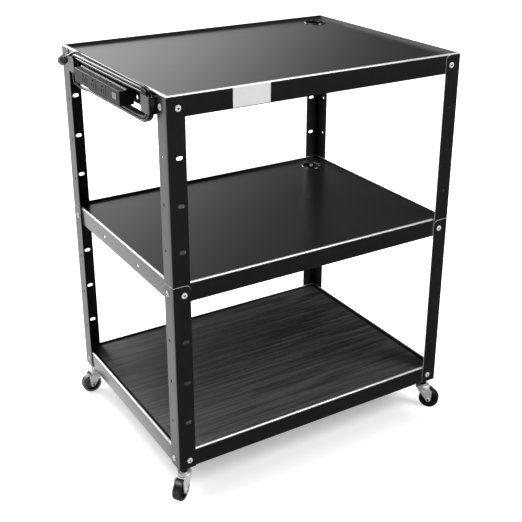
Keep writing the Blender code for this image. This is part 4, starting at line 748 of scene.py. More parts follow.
@dataclass
class PowerCord:
    """The mains cord: out of the strip's gland, wound round the strip between the two brackets, and to its plug.

    The leads' places are in diameters: outwards, along Y and up, from the gland's mouth, the winding's first
    point or the plug. The gland, its mouth and the plug are measured from the cart's centre line.
    """

    diameter: float = 0.0072
    length: float = 3.875
    row: float = 0.0082
    turns: float = 3.9
    start: float = 0.10
    end: float = 3.80
    joint_gap: float = 0.05
    climb_start: float = 1.7
    climb_turns: float = 0.5
    run_share: float = 0.4
    bow_share: float = 0.1
    inner_layer: float = WALL + 0.0059
    outer_layer: float = WALL + 0.0139
    inner_bend: float = 0.0233
    reach: Pair = (-0.21411, 0.17311)
    gland_place: Place = (-0.4248, 0.1245, STRIP_HEIGHT)
    mouth: Place = (-0.4248, 0.1445, STRIP_HEIGHT)
    plug_place: Place = (-0.4208, 0.2360, 1.0122)
    plug_tilt: float = 26.0
    lead_in: tuple[Place, ...] = ((0, 0, 0), (0, 1, 0), (0.08, 2.9, -0.79), (0.28, 3.69, -2.69), (0.28, 2.9, -4.6))
    lead_in_tail: tuple[Place, ...] = ((0.72, 9.4, 0), (0.45, 6.6, -0.35), (0.12, 3.4, -0.2), (0, 1, 0))
    lead_out: tuple[Place, ...] = ((-1.4, -13, 3.15), (-1.11, -8.74, 3.3), (-0.76, -5.35, 2.4), (-0.46, -2.6, 1.15))
    gland_sides: int = 48
    plug_sides: int = 112
    flutes: int = 14
    flute_depth: float = 0.04
    flute_ends: Pair = (0.0085, 0.0030)
    flute_fade: float = 0.001
    plug_neck: float = 0.0120
    plug_body: float = 0.0220
    plug_radius: float = 0.01225
    blade_out: float = 0.0160
    blade_half: Pair = (0.0032, 0.0008)
    blade_side: float = 0.00635
    blade_up: float = 0.0036
    pin_radius: float = 0.0024
    pin_down: float = -0.0066

    def plug_aim(self) -> Place:
        """Return the direction from the plug's neck to its blades."""
        tilt = math.radians(self.plug_tilt)
        return (0.0, math.cos(tilt), -math.sin(tilt))

    def winding(self, turns: np.ndarray) -> np.ndarray:
        """Work out the winding's centre line.

        A turn is two straight runs and two half circles. The half circle's radius is the outer one less the row
        pitch times the number of turns from the nearer end, and the sideways place moves from the outer to the
        inner layer along a smooth step between 1.7 and 2.2 turns.

        Args:
            turns: The turns from the bottom run's back, in rising order.

        Returns:
            Points as (turns, 3), about the cart's centre.
        """
        bend = self.inner_bend + self.row * (self.turns / 2 - np.minimum(turns, self.turns - turns))
        climb = np.clip((turns - self.climb_start) / self.climb_turns, 0.0, 1.0)
        out = self.outer_layer + (self.inner_layer - self.outer_layer) * climb**2 * (3 - 2 * climb)
        share = turns % 1.0
        back = share >= 0.5
        share, sign = share - 0.5 * back, np.where(back, -1, 1)
        begin, finish = np.where(back, self.reach[0], self.reach[1]), np.where(back, self.reach[1], self.reach[0])
        angle = math.pi * np.clip((share - self.run_share) / self.bow_share, 0.0, 1.0)
        along = begin + (finish - begin) * np.minimum(share / self.run_share, 1.0) - sign * bend * np.sin(angle)
        return np.column_stack([-out, along, STRIP_HEIGHT - sign * bend * np.cos(angle)])

    def route(self) -> np.ndarray:
        """Join a curve from the gland, the winding, and a second curve to the plug.

        Returns:
            The whole centre line in the frame's axes.
        """
        run = np.linspace(0.0, self.run_share, 9)[:-1]
        bow = np.linspace(self.run_share, self.run_share + self.bow_share, 17)[:-1]
        half = np.concatenate([run, bow])
        turns = (np.arange(4)[:, None] + np.concatenate([half, half + 0.5])).ravel()
        turns = turns[(turns > self.start + self.joint_gap) & (turns < self.end - self.joint_gap)]
        wound = self.winding(np.concatenate([[self.start], turns, [self.end]]))
        straight = np.array([0.0, self.diameter, 0.0])
        wound = np.vstack([wound[0] + straight, wound, wound[-1] + straight])
        unit = self.diameter * np.array([-1.0, 1.0, 1.0])
        lead, tail, plug = self.mouth + unit * self.lead_in, wound[0] + unit * self.lead_in_tail, self.plug_place
        first = np.vstack([lead, tail, wound[:1]])
        approach = [plug - np.array(self.plug_aim()) * self.diameter, plug]
        last = np.vstack([wound[-1:], wound[-1:] + straight, plug + unit * self.lead_out, approach])
        whole = np.vstack([through(first, 5), wound[1:-1], through(last, 5)])
        return whole + np.array([CENTRE_X, 0.0, 0.0])

    def gland(self) -> bpy.types.Object:
        """Make the strain relief: a collar, then a taper whose radius has five sine rings.

        Returns:
            Its object.
        """
        share = np.linspace(0.0, 1.0, 61)
        taper = 0.0061 - 0.0009 * share + 0.0003 * np.sin(10 * math.pi * share)
        taper = np.column_stack([taper, 0.0046 + 0.0150 * share])
        collar = mm((0, -5), (6.3, -5), (6.3, -3.8), (5.1, -3.8), (5.1, 0.3), (7.8, 0.3), (7.8, 4.3), (6.2, 4.6))
        profile = np.vstack([soften(collar, 0.0006), taper, mm((5, 20), (3.8, 20), (0, 19.5))])
        x, y, z = self.gland_place
        skin = Skin().lathe(profile, self.gland_sides, frame_at((CENTRE_X + x, y, z), (0, 1, 0)))
        return piece("cord_gland_moulding", skin, (PLUG_PVC,), "black_plastic", "cord_gland", angle=45)

    def shell(self) -> np.ndarray:
        """Work out the plug's profile: a ringed neck, a rounded shoulder, the grip and the end face.

        The neck's radius grows with the share of its length to the power 1.5, plus four sine rings.

        Returns:
            Rows of (radius, height).
        """
        share = np.linspace(0.0, 1.0, 41)
        neck = 0.0048 + 0.0022 * share**1.5 + 0.0003 * np.sin(8 * math.pi * share)
        neck = np.column_stack([neck, self.plug_neck * share])
        end, wide = self.plug_neck + self.plug_body, self.plug_radius
        corners = [(0.0070, self.plug_neck), (wide, self.plug_neck + 0.0045), (wide, end), (0, end)]
        shell = soften(corners, (0, 0.0035, 0.0014, 0), 8)
        grip = np.column_stack([np.full(12, wide), np.linspace(self.plug_neck + 0.0085, end - 0.0025, 12)])
        return np.vstack([[(0.0038, 0.0004)], neck, shell[:10], grip, shell[10:]])

    def plug(self) -> bpy.types.Object:
        """Make the plug: its shell, whose radius has fourteen flutes round its middle, and three pins.

        A flute is 0.04 of the radius times (1 - cos(14 angle)) / 2, faded in and out over 1 mm of height.

        Returns:
            Its object.
        """
        x, y, z = self.plug_place
        place = frame_at((CENTRE_X + x, y, z), self.plug_aim())
        profile, end = self.shell(), self.plug_neck + self.plug_body
        height, (first, last) = profile[:, 1:], self.flute_ends
        begun, left = height - self.plug_neck - first, end - last - height
        window = np.clip(begun / self.flute_fade, 0, 1) * np.clip(left / self.flute_fade, 0, 1)
        flutes = 1 - self.flute_depth * window * (0.5 - 0.5 * np.cos(self.flutes * circle(self.plug_sides)))
        skin = Skin().lathe(profile, self.plug_sides, place, flutes)
        root, tip = end - 0.002, end + self.blade_out
        wide, thin = self.blade_half
        blade = np.array([(-wide, root), (wide, root), (wide, tip), (-wide, tip)]) + [self.blade_up, 0.0]
        blade = soften(blade, (0.0, 0.0001, 0.0014, 0.0014))
        for middle in (-self.blade_side, self.blade_side):
            skin.slab(blade, middle - thin, middle + thin, place @ FACE_V, tint=1)
        nose = arc(np.linspace(0, QUARTER, 7), self.pin_radius) + [0, tip - self.pin_radius]
        pin = np.vstack([[(0, root), (self.pin_radius, root)], nose])
        skin.lathe(pin, 24, place @ Matrix.Translation((0.0, self.pin_down, 0.0)), tint=1)
        return piece("cord_plug_moulding", skin, (PLUG_PVC, NICKEL), "black_plastic", "cord_plug", angle=45)

    def build(self) -> None:
        plug, gland = self.plug(), self.gland()
        route = self.route()
        data = bpy.data.curves.new("power_cord", "CURVE")
        data.dimensions, data.bevel_depth, data.bevel_resolution, data.use_fill_caps = "3D", self.diameter / 2, 4, True
        spline = data.splines.new("POLY")
        spline.points.add(len(route) - 1)
        spline.points.foreach_set("co", np.column_stack([route, np.ones(len(route))]).ravel())
        spline.use_smooth = True
        data.materials.append(JACKET.material())
        obj = stand("power_cord", data)
        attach(obj, "cart")
        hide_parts("cord_lead_in", "cord_winding", "cord_lead_out")
        measured = float(np.linalg.norm(np.diff(route, axis=0), axis=1).sum())
        LOG.info("power_cord: %.3f m long, %d points", measured, len(route))


# Shelves


@dataclass
class ShelfPan:
    """A shelf folded from one sheet: a deck below a raised, rounded lip, a flange all round and a hem under it."""

    level: str
    inset: float = SHEET_GAP
    side_holes: tuple[Pair, ...] = ()
    side_hole: float = 0.0
    cable_hole: bool = True
    right_lining: int = 2
    sheet: float = 0.0014
    lip_width: float = 0.0050
    lip_foot: float = 0.0040
    lip_round: float = 0.0034
    lip_radii: tuple[float, ...] = (0, 0.0010, 0.0003, 0)
    lip_steps: int = 9
    hem: float = 0.0089
    skirt_radii: tuple[float, ...] = (0, 0.0022, 0.0005, 0.0005, 0.0009, 0.0012, 0)
    corner: float = 0.0030
    hole_radius: float = 0.0285

    def __post_init__(self) -> None:
        """Work out the heights of the flange's foot, the lip's top and the deck."""
        self.base = SHELF_LEVELS[self.level]
        self.crest = self.base + SHELF_HEIGHT
        self.deck = self.crest - LIP_DEPTH

    def lip(self) -> np.ndarray:
        """Work out the lip from the deck up and over to the flange.

        The deck turns up in a small fillet, the inner face ends in a 0.3 mm edge, and the outer side is a quarter
        circle: inset = r (1 - sin angle), height = top - r (1 - cos angle).

        Returns:
            Rows of (inset, height).
        """
        foot, width, top = self.lip_width + self.lip_foot, self.lip_width, self.crest
        inner = [(foot, self.deck), (width, self.deck), (width, top), (self.lip_round, top)]
        angle = np.linspace(0.0, QUARTER, self.lip_steps)
        outer = np.column_stack([self.lip_round * (1 - np.sin(angle)), top - self.lip_round * (1 - np.cos(angle))])
        return np.vstack([soften(inner, self.lip_radii), outer])

    def skirt(self) -> np.ndarray:
        """Work out the line from the lip's foot down the flange, round the hem and up its inside.

        Returns:
            Rows of (inset, height).
        """
        low, sheet, under = self.base, self.sheet, self.deck - self.sheet
        corners = [(0, self.crest - self.lip_round), (0, low), (self.hem, low), (self.hem, low + sheet)]
        corners += [(sheet, low + sheet), (sheet, under), (self.hem, under)]
        return soften(corners, self.skirt_radii)

    def ring(self, line: np.ndarray) -> np.ndarray:
        """Carry a line round the pan's rounded rectangle.

        Args:
            line: Rows of (inset, height).

        Returns:
            Points as (rows, places round, 3).
        """
        flat = rings(HALF_WIDTH - self.inset, HALF_DEPTH - self.inset, self.corner, line[:, 0])
        height = np.broadcast_to(line[:, 1, None, None], (*flat.shape[:2], 1))
        return np.concatenate([flat + [CENTRE_X, 0.0], height], axis=2)

    def build(self) -> None:
        """Make the pan and cut its holes.

        Up to its inner edge's rounding the lip takes painted shade, or the right side's lining, and from there
        outwards a painted highlight. A ring's last column and its first are the ends of the right side.
        """
        lip, skirt = self.lip(), self.skirt()
        edge = len(lip) - self.lip_steps - 2
        inside = self.ring(lip[: edge + 1])
        skin = Skin().grid(inside, tint=2).grid(inside[:, [-1, 0]], tint=self.right_lining)
        skin.grid(self.ring(lip[edge:]), wrap=True, tint=1).grid(self.ring(skirt), wrap=True)
        skin.cap(self.ring(lip[:1])[0]).cap(self.ring(skirt[-1:])[0])
        tool, outer = Skin(), CENTRE_X - HALF_WIDTH + self.inset
        for along, height in self.side_holes:
            tool.rod((outer - 0.004, along, height), (0.009, 0, 0), self.side_hole / 2)
        if self.cable_hole:
            tool.rod((*CABLE_HOLE, self.deck - 0.006), (0, 0, 0.012), self.hole_radius, 64)
        # Tints: the coat, the rim's painted highlight, the inside's painted shade, and the top shelf's painted
        # reflection.
        finishes = (SHELF_COAT, RIM_PAINTED_HIGHLIGHT, DULL_COAT_PAINTED_SHADE, GREY_COAT_PAINTED_REFLECTION)
        piece(f"{self.level}_shelf_pan", skin, finishes, "shelf_coat", f"{self.level}_shelf", tool=tool)


@dataclass
class CableGrommet:
    """The snap-in ring that lines a cable hole: a domed flange over a thin collar."""

    level: str
    bore: float = 0.0262
    neck: float = 0.0282
    flange: float = 0.0322
    rise: float = 0.0023
    fall: float = 0.0027
    seat: float = 0.0003
    sides: int = 72

    def build(self) -> None:
        """Turn the ring's closed section, its corners rounded."""
        deck = SHELF_LEVELS[self.level] + SHELF_HEIGHT - LIP_DEPTH
        top, seat, foot = deck + self.rise, deck + self.seat, deck - self.fall
        corners = [(self.bore, top - 0.0004), (self.bore + 0.002, top), (self.flange - 0.0012, top - 0.0003)]
        corners += [(self.flange, seat), (self.neck, seat), (self.neck, foot + 0.001), (self.neck + 0.001, foot)]
        section = soften([*corners, (self.bore, foot)], 0.0006, 3, True)
        skin = Skin().lathe(section, self.sides, Matrix.Translation((*CABLE_HOLE, 0.0)), loop=True)
        node = f"cable_grommet_{self.level}"
        piece(f"{node}_ring", skin, (GLOSS_ABS,), "black_plastic", node)


@dataclass
class RibbedMat:
    """The rubber mat in the bottom shelf: fine ribs along X inside a plain, lower border."""

    half: Pair = (0.3987, 0.2971)
    low: float = 0.1338
    high: float = 0.1358
    border: float = 0.0090
    pitch: float = 0.0040
    rib: float = 0.0007
    rib_steps: int = 6
    fade: float = 0.0010
    edge: float = 0.0004
    edge_height: float = 0.0008

    def build(self) -> None:
        """Make the mat as a height over the plan: low border, and between its ramps a raised cosine across Y."""
        half_x, half_y = self.half
        inner_x, inner_y = half_x - self.border, half_y - self.border
        ends = np.array([inner_x - self.fade, inner_x])
        right = np.array([*ends, half_x - self.edge, half_x])
        x = np.concatenate([-right[::-1], right])
        count = int(2 * inner_y / self.pitch)
        ribs = np.linspace(-inner_y, inner_y, self.rib_steps * count + 1)
        y = np.concatenate([[-half_y, -half_y + self.edge], ribs, [half_y - self.edge, half_y]])
        faded = np.interp(np.abs(x), ends, [1.0, 0.0])
        wave = 0.5 - 0.5 * np.cos(2 * math.pi * (y + inner_y) * count / (2 * inner_y))
        wave = np.where(np.abs(y) > inner_y, 0.0, wave)
        top = self.high - self.rib + self.rib * wave[:, None] * faded[None]
        rim = (np.abs(x)[None] >= half_x - SAME_PLACE) | (np.abs(y)[:, None] >= half_y - SAME_PLACE)
        top = np.where(rim, self.low + self.edge_height, top)
        plan_x, plan_y = np.meshgrid(x + CENTRE_X, y)
        upper = np.stack([plan_x, plan_y, top], axis=-1)
        under = np.stack([plan_x, plan_y, np.full_like(top, self.low)], axis=-1)
        skin = Skin().grid(upper[1:-1, 2:-2]).grid(under)
        # The border's top strips and the sides take the near-black painted shadow.
        for strip in (upper[:, :3], upper[:, -3:], upper[:2], upper[-2:]):
            skin.grid(strip, tint=1)
        for a, b in ((upper.swapaxes(0, 1), under.swapaxes(0, 1)), (upper, under)):
            skin.grid(np.stack([a[0], b[0]]), tint=1).grid(np.stack([a[-1], b[-1]]), tint=1)
        piece("bottom_shelf_ribbed_mat", skin, (MAT_RUBBER, MAT_EDGE_PAINTED_SHADOW), "mat_rubber", "bottom_shelf_mat", angle=50)


# Legs and their bolts


@dataclass
class Bolt:
    """A pan-head bolt with a cross recess, its shank and its hexagon nut, along local Z with the head below zero."""

    grip: float
    head: float = 0.00725
    rise: float = 0.0028
    crown: float = 0.0046
    under: float = -0.0005
    shank: float = 0.0030
    nut: float = 0.0058
    nut_height: float = 0.0050
    chamfer: Pair = (0.0008, 0.0006)
    dish: float = 0.0004
    recess: float = 0.0020
    recess_wall: float = 0.0004
    arm: Pair = (0.0010, 0.0027)
    head_sides: int = 48
    sides: int = 32

    def head_surface(self) -> np.ndarray:
        """Work out the head as a depth over polar places.

        The depth follows the pan's softened profile, less the recess depth times the larger of two crossed bars,
        each bar being the product of two clipped ramps across its half width and its half length.

        Returns:
            Points as (radii, angles, 3).
        """
        rim = [(self.crown, self.rise), (self.head - 0.0006, self.rise * 0.62), (self.head, 0.0009)]
        outline = soften([*rim, (self.head, self.under), (self.shank, self.under)], 0.0007)
        inner = np.linspace(0.0, self.crown, 15)[:-1]
        radius = np.concatenate([inner, outline[:, 0]])[:, None]
        depth = np.concatenate([np.full(len(inner), self.rise), outline[:, 1]])[:, None]
        angles = circle(self.head_sides)
        places = np.array([radius * np.cos(angles), radius * np.sin(angles)])
        across, along = (np.clip((half - abs(places)) / self.recess_wall + 0.5, 0, 1) for half in self.arm)
        bars = across * along[::-1]
        return np.stack([*places, self.recess * bars.max(axis=0) - depth], axis=-1)

    def add(self, skin: Skin, matrix: Matrix) -> None:
        """Add the head, the shank and the nut to a skin. The recess takes the second tint, a painted shade.

        Args:
            skin: The skin that they go in.
            matrix: The matrix from the bolt's axes to the frame's.
        """
        head = self.head_surface()
        level = np.hstack([head[..., 2], head[:, :1, 2]])
        # The recess's faces take the dark grey painted shade.
        shaded_recess = (level[:-1, :-1] + level[1:, 1:]) / 2 > 0.4 * self.recess - self.rise
        shaded_recess &= np.hypot(head[:-1, :, 0], head[:-1, :, 1]) <= self.arm[1]
        skin.grid(moved(head, matrix), wrap=True, tint=shaded_recess.ravel().astype(int))
        start, end, (in_by, up_by) = self.grip + self.dish, self.grip + self.nut_height, self.chamfer
        skin.lathe([(self.shank, self.under), (self.shank, start)], self.sides, matrix)
        inner, tip = self.nut - in_by, end + self.dish
        profile = [(self.shank, start), (inner, self.grip), (self.nut, self.grip + up_by), (self.nut, end - up_by)]
        profile += [(inner, end), (self.shank, end), (self.shank * 0.9, tip), (0.0, tip)]
        lobes = 1 + (hexagon(self.sides) - 1) * np.array([0, 0.6, 1, 1, 0.6, 0, 0, 0])[:, None]
        skin.lathe(profile, self.sides, matrix, lobes)


@dataclass
class AngleLeg:
    """One angle leg: its section carried up between two heights, its slots and holes cut, its bolts added.

    Each row holds a height with the insets of the outer and the inner face there, and each bolt a height with
    the thickness that it grips.
    """

    corner: Corner
    part: str
    rows: np.ndarray
    holes: Place
    bolts: tuple[Pair, ...]
    flange: float = 0.0445
    flat: float = 0.0160
    bend: float = 0.0026
    inner_bend: float = 0.0009
    round_off: float = 0.0130
    crest: float = 0.0009
    slot: Pair = (0.0160, 0.0090)
    hole: float = 0.0035
    cut: Pair = (-0.004, 0.006)

    def line(self, insets: np.ndarray, bend: float) -> np.ndarray:
        """Work out one face of the angle: along the u flange, round the bend and along the v flange.

        The flanges lie at the inset, and the bend is the quarter circle of its radius about the place one radius
        and one inset from both faces.

        Args:
            insets: One inset for each row.
            bend: The bend's radius.

        Returns:
            Points as (insets, places, 2).
        """
        inset = insets[:, None]
        run = np.append(self.flange - self.round_off * (1 - np.cos(np.linspace(0, QUARTER, 9))), self.flat)
        centre, angle = inset + bend, np.linspace(0.0, QUARTER, 6)
        level = np.ones((len(inset), len(run)))
        u = np.hstack([level * run, centre - bend * np.sin(angle), level * inset])
        return np.stack([u, u[:, ::-1]], axis=-1)

    def top(self, line: np.ndarray, height: float) -> np.ndarray:
        """Return the top's height along a line: level, then down a quarter circle to the flange's free corner."""
        past = np.clip(line.max(axis=-1) - self.flange + self.round_off, 0.0, self.round_off)
        return height - self.round_off + np.sqrt(self.round_off**2 - past**2)

    def faces(self, matrix: Matrix) -> list[np.ndarray]:
        """Carry both faces of the section up the leg.

        Args:
            matrix: The corner's matrix.

        Returns:
            The outer and the inner face, each as (rows, places, 3) points in the frame's axes.
        """
        rows, made = self.rows, []
        for insets, bend in ((rows[:, 1], self.bend), (rows[:, 2], self.inner_bend)):
            line = self.line(insets, bend)
            height = np.broadcast_to(rows[:, :1], line.shape[:2]).copy()
            height[-1] = self.top(line[-1], rows[-1, 0])
            made.append(moved(np.concatenate([line, height[..., None]], axis=-1), matrix))
        return made

    def build(self) -> None:
        """Make the leg and its bolts. Both ends, one free edge and a lower leg's crest take a pale painted highlight.
        """
        node, matrix = f"{self.part}_leg_{self.corner.label}", self.corner.matrix()
        outer, inner = self.faces(matrix)
        crest = outer[-1:] - [0.0, 0.0, self.crest]
        # The inner face takes painted shade; both ends, one free edge and a lower leg's crest take a painted highlight.
        skin = Skin().grid(np.vstack([outer[:-1], crest])).grid(inner, tint=2)
        skin.grid(np.vstack([crest, outer[-1:]]), tint=int(self.part == "lower"))
        for end in (-1, 0):
            skin.grid(np.stack([outer[end], inner[end]]), tint=1)
        for side, tint in ((0, 1), (-1, 0)):
            rim = np.vstack([outer[:-1, side], crest[:, side], outer[-1:, side]])
            skin.grid(np.stack([rim, np.vstack([inner[:, side], inner[-1:, side]])]), tint=tint)
        piece(f"{node}_angle", skin, (LEG_COAT, SAWN_END_PAINTED_HIGHLIGHT, DULL_COAT_PAINTED_SHADE), "powder_coat", node, tool=self.cutters(matrix))
        bolts = Skin()
        for height, grip in self.bolts:
            Bolt(grip).add(bolts, matrix @ Matrix.Translation((BOLT_INSET, 0.0, height)) @ INWARD_V)
            Bolt(grip).add(bolts, matrix @ Matrix.Translation((0.0, BOLT_INSET, height)) @ INWARD_U)
        piece(f"{node}_bolts", bolts, (SCREW_WHITE_PAINTED_SHEEN, RECESS_PAINTED_SHADE), "zinc")

    def cutters(self, matrix: Matrix) -> Skin:
        """Make what cuts the slots of the u flange and the round holes of the v flange.

        Args:
            matrix: The corner's matrix.

        Returns:
            The tool.
        """
        tool, (length, width) = Skin(), self.slot
        end = arc(np.linspace(-QUARTER, QUARTER, 9), width / 2) + [(length - width) / 2, 0.0]
        slot, hole = np.vstack([end, -end]), arc(circle(20), self.hole)
        for height in self.holes:
            tool.slab(slot, *self.cut, matrix @ Matrix.Translation((BOLT_INSET, 0.0, height)) @ FACE_U)
            tool.slab(hole, *self.cut, matrix @ Matrix.Translation((0.0, BOLT_INSET, height)) @ FACE_V)
        return tool


def legs() -> list[AngleLeg]:
    """Lay out the legs: each lower one plain, each upper one stepping in to a tongue behind the lower one.

    Returns:
        The eight legs.
    """
    lower = mm((90, 0, 1.8), (587.5, 0, 1.8))
    tongue, step = ((545, 2.1, 3.9), (587.7, 2.1, 3.9)), ((587.8, 0.4, 3.9), (588.3, 0, 3.9), (590.8, 0, 3.4))
    upper = mm(*tongue, *step, (593.8, 0, 1.8), (1028.5, 0, 1.8))
    made = []
    for corner in Corner:
        made.append(AngleLeg(corner, "lower", lower, (0.2220, 0.3325, 0.4430), ((0.1115, 0.0061), (0.5635, 0.0059))))
        made.append(AngleLeg(corner, "upper", upper, (0.6710, 0.7815, 0.8920), ((1.0025, 0.0038),)))
    return made


# Casters


def mirrored(*half_mm: Pair) -> np.ndarray:
    """Return a section's upper half and its mirror image below, as one closed line of (radius, height) rows."""
    return np.vstack([mm(*half_mm), mm(*half_mm)[::-1] * [1, -1]])


@dataclass
class Caster:
    """One swivel caster: the stem and its races on the cart, the fork and axle on the swivel, the wheel on the axle.

    The fork's shoulder and crown each hold a height with the places of its front and its rear edge, from the stem.
    The turned sections are rows of (radius, height) in millimetres. The stem's is its tail, nut, collar, upper race,
    ball ring, pin and rivet head. The axle has a hexagon nut at each end, which its end stands out of, painted dark
    grey as shade. The hub is a boss, a dished web with a raised ring, and a rim, and the tyre has flat walls, rounded
    shoulders and a barely crowned tread.
    """

    corner: Corner
    inset: float = 0.0220
    trail: float = 0.0200
    wheel: float = 0.0280
    oxide_and_shade_above: float = 0.0702
    corner_radius: float = 0.0006
    tyre_radius: float = 0.0016
    sharp: float = 40.0
    side: float = 0.0135
    sheet: float = 0.0022
    fork_bend: float = 0.0030
    boss: float = 0.0075
    rear_foot: Pair = (0.0243, 0.0135)
    shoulder: Place = (0.0530, 0.0290, -0.0100)
    crown: Place = (0.05975, 0.0245, -0.0120)
    crown_front: float = 0.0205
    crown_radius: float = 0.0195
    rivet: Pair = (0.0055, 0.0480)
    rivet_mm: tuple[Pair, ...] = ((0, 1.6), (2.2, 1.4), (3.2, 0.4), (3.4, -0.2), (0, -0.2))
    tail_mm: tuple[Pair, ...] = ((0, 105), (4.4, 105), (4.9, 104.5), (4.9, 101), (8.5, 101), (8.5, 95), (4.9, 95))
    race_mm: tuple[Pair, ...] = ((4.9, 91.4), (9, 91.4), (9, 70), (10.5, 68.3), (17.2, 68.3), (19.5, 66.5), (19.5, 65))
    ring_mm: tuple[Pair, ...] = ((18.6, 64.3), (16.5, 64.3), (16, 62.8), (16.5, 61.3), (5, 61.3), (5, 58.2), (7, 58.2))
    head_mm: tuple[Pair, ...] = ((6.8, 57.4), (4, 56.6), (0, 56.6))
    shank_mm: tuple[Pair, ...] = ((0, -15), (3, -15), (3, 15), (0, 15))
    nut_mm: tuple[Pair, ...] = ((2.6, 14.9), (6, 14.9), (6.7, 15.3), (6.7, 18.4), (6, 19), (2.6, 19))
    end_mm: tuple[Pair, ...] = ((0, 18.7), (3.1, 18.7), (3.1, 20.7), (0, 21))
    boss_mm: tuple[Pair, ...] = ((3.3, 10), (6.8, 10), (7.5, 9.3), (7.8, 4.5), (12.5, 3.5), (13.5, 4.2), (14.5, 3.5))
    rim_mm: tuple[Pair, ...] = ((18.3, 4), (18.8, 9.5), (19.5, 10), (20.7, 10))
    tyre_mm: tuple[Pair, ...] = ((21, 10.4), (21.8, 11), (25.4, 11), (27.4, 10.2), (27.9, 7.8), (28, 2))

    def __post_init__(self) -> None:
        """Work out the stem's place and the matrices that follow from it."""
        self.label, side_x, side_y, trail = self.corner.value
        place = (CENTRE_X + side_x * (HALF_WIDTH - self.inset), side_y * (HALF_DEPTH - self.inset), 0.0)
        self.stem = Matrix.Translation(place)
        self.swivel = self.stem @ Matrix.Rotation(math.radians(trail), 4, "Z")
        self.axis = self.swivel @ Matrix.Translation((self.trail, 0.0, self.wheel)) @ Matrix.Rotation(QUARTER, 4, "X")

    def build(self) -> None:
        """Make the caster's five pieces. The stem is black above its races, also as painted shade under the shelf."""
        section = mm(*self.tail_mm, *self.race_mm, *self.ring_mm, *self.head_mm)
        stem = moved(turned(soften(section, self.corner_radius), 48), self.stem)
        # Above this height the stem is black oxide, which also stands in as painted shade under the shelf.
        high = int(np.sum(stem[:, 0, 2] > self.oxide_and_shade_above))
        skin = Skin().grid(stem[: high + 1], wrap=True, tint=1).grid(stem[high:], wrap=True)
        self.file("stem", "turned", skin, (ZINC_PAINTED_SHEEN, OXIDE_BLACK_AND_PAINTED_SHADE), "zinc", "cart")
        self.file("fork", "pressing", self.fork(), (ZINC_PAINTED_SHEEN,), "zinc", f"swivel_{self.label}", edge=0.0003)
        self.file("axle", "turned", self.axle(), (SCREW_WHITE_PAINTED_SHEEN, RECESS_PAINTED_SHADE), "zinc", f"swivel_{self.label}", angle=30)
        hub = soften(mirrored(*self.boss_mm, *self.rim_mm), self.corner_radius, 3, True)
        hub = Skin().lathe(hub, 64, self.axis, loop=True)
        self.file("hub", "turned", hub, (NYLON,), "hub_plastic", f"wheel_{self.label}")
        tyre = Skin().lathe(soften(mirrored(*self.tyre_mm), self.tyre_radius, 3, True), 96, self.axis, loop=True)
        self.file("tyre", "turned", tyre, (TYRE,), "tyre_rubber", f"wheel_{self.label}")
        dress(f"caster_bracket_{self.label}", LEG_COAT)

    def file(
        self, part: str, kind: str, skin: Skin, finishes: tuple[Finish, ...], slot: str, body: str, **how: float
    ) -> None:
        """Make one of the caster's pieces, in the name of its own node, with what else piece() needs to know."""
        node = f"caster_{part}_{self.label}"
        piece(f"{node}_{kind}", skin, finishes, slot, node, body, **{"angle": self.sharp, **how})

    def axle(self) -> Skin:
        """Work out the axle: its shank and, mirrored, both nuts and both ends.

        Returns:
            The axle's skin.
        """
        skin = Skin().lathe(mm(*self.shank_mm), 48, self.axis)
        for side in (1, -1):
            matrix = self.axis @ Matrix.Diagonal((1, 1, side, 1))
            skin.lathe(mm(*self.nut_mm), 48, matrix, hexagon(48), loop=True)
            # The axle's end takes the dark grey painted shade.
            skin.lathe(soften(mm(*self.end_mm), self.corner_radius), 48, matrix, tint=1)
        return skin

    def fork_line(self) -> np.ndarray:
        """Work out the fork's middle line: up one side, round the bend, over the crown and down the other side.

        Returns:
            Rows of (sideways place, height).
        """
        top, bend, round_off = self.crown[0], self.fork_bend, np.linspace(0.0, QUARTER, 7)[1:]
        foot = self.wheel - self.boss * np.cos(np.linspace(0.02, QUARTER, 9))
        heights = np.concatenate([foot, np.linspace(self.wheel, top - bend, 10)[1:]])
        up = np.column_stack([np.full(len(heights), self.side), heights])
        curve = np.column_stack([self.side - bend * (1 - np.cos(round_off)), top - bend + bend * np.sin(round_off)])
        across = np.column_stack([np.linspace(self.side - bend, 0.0, 7)[1:], np.full(6, top)])
        half = np.vstack([up, curve, across])
        return np.vstack([half, half[:-1][::-1] * [-1, 1]])

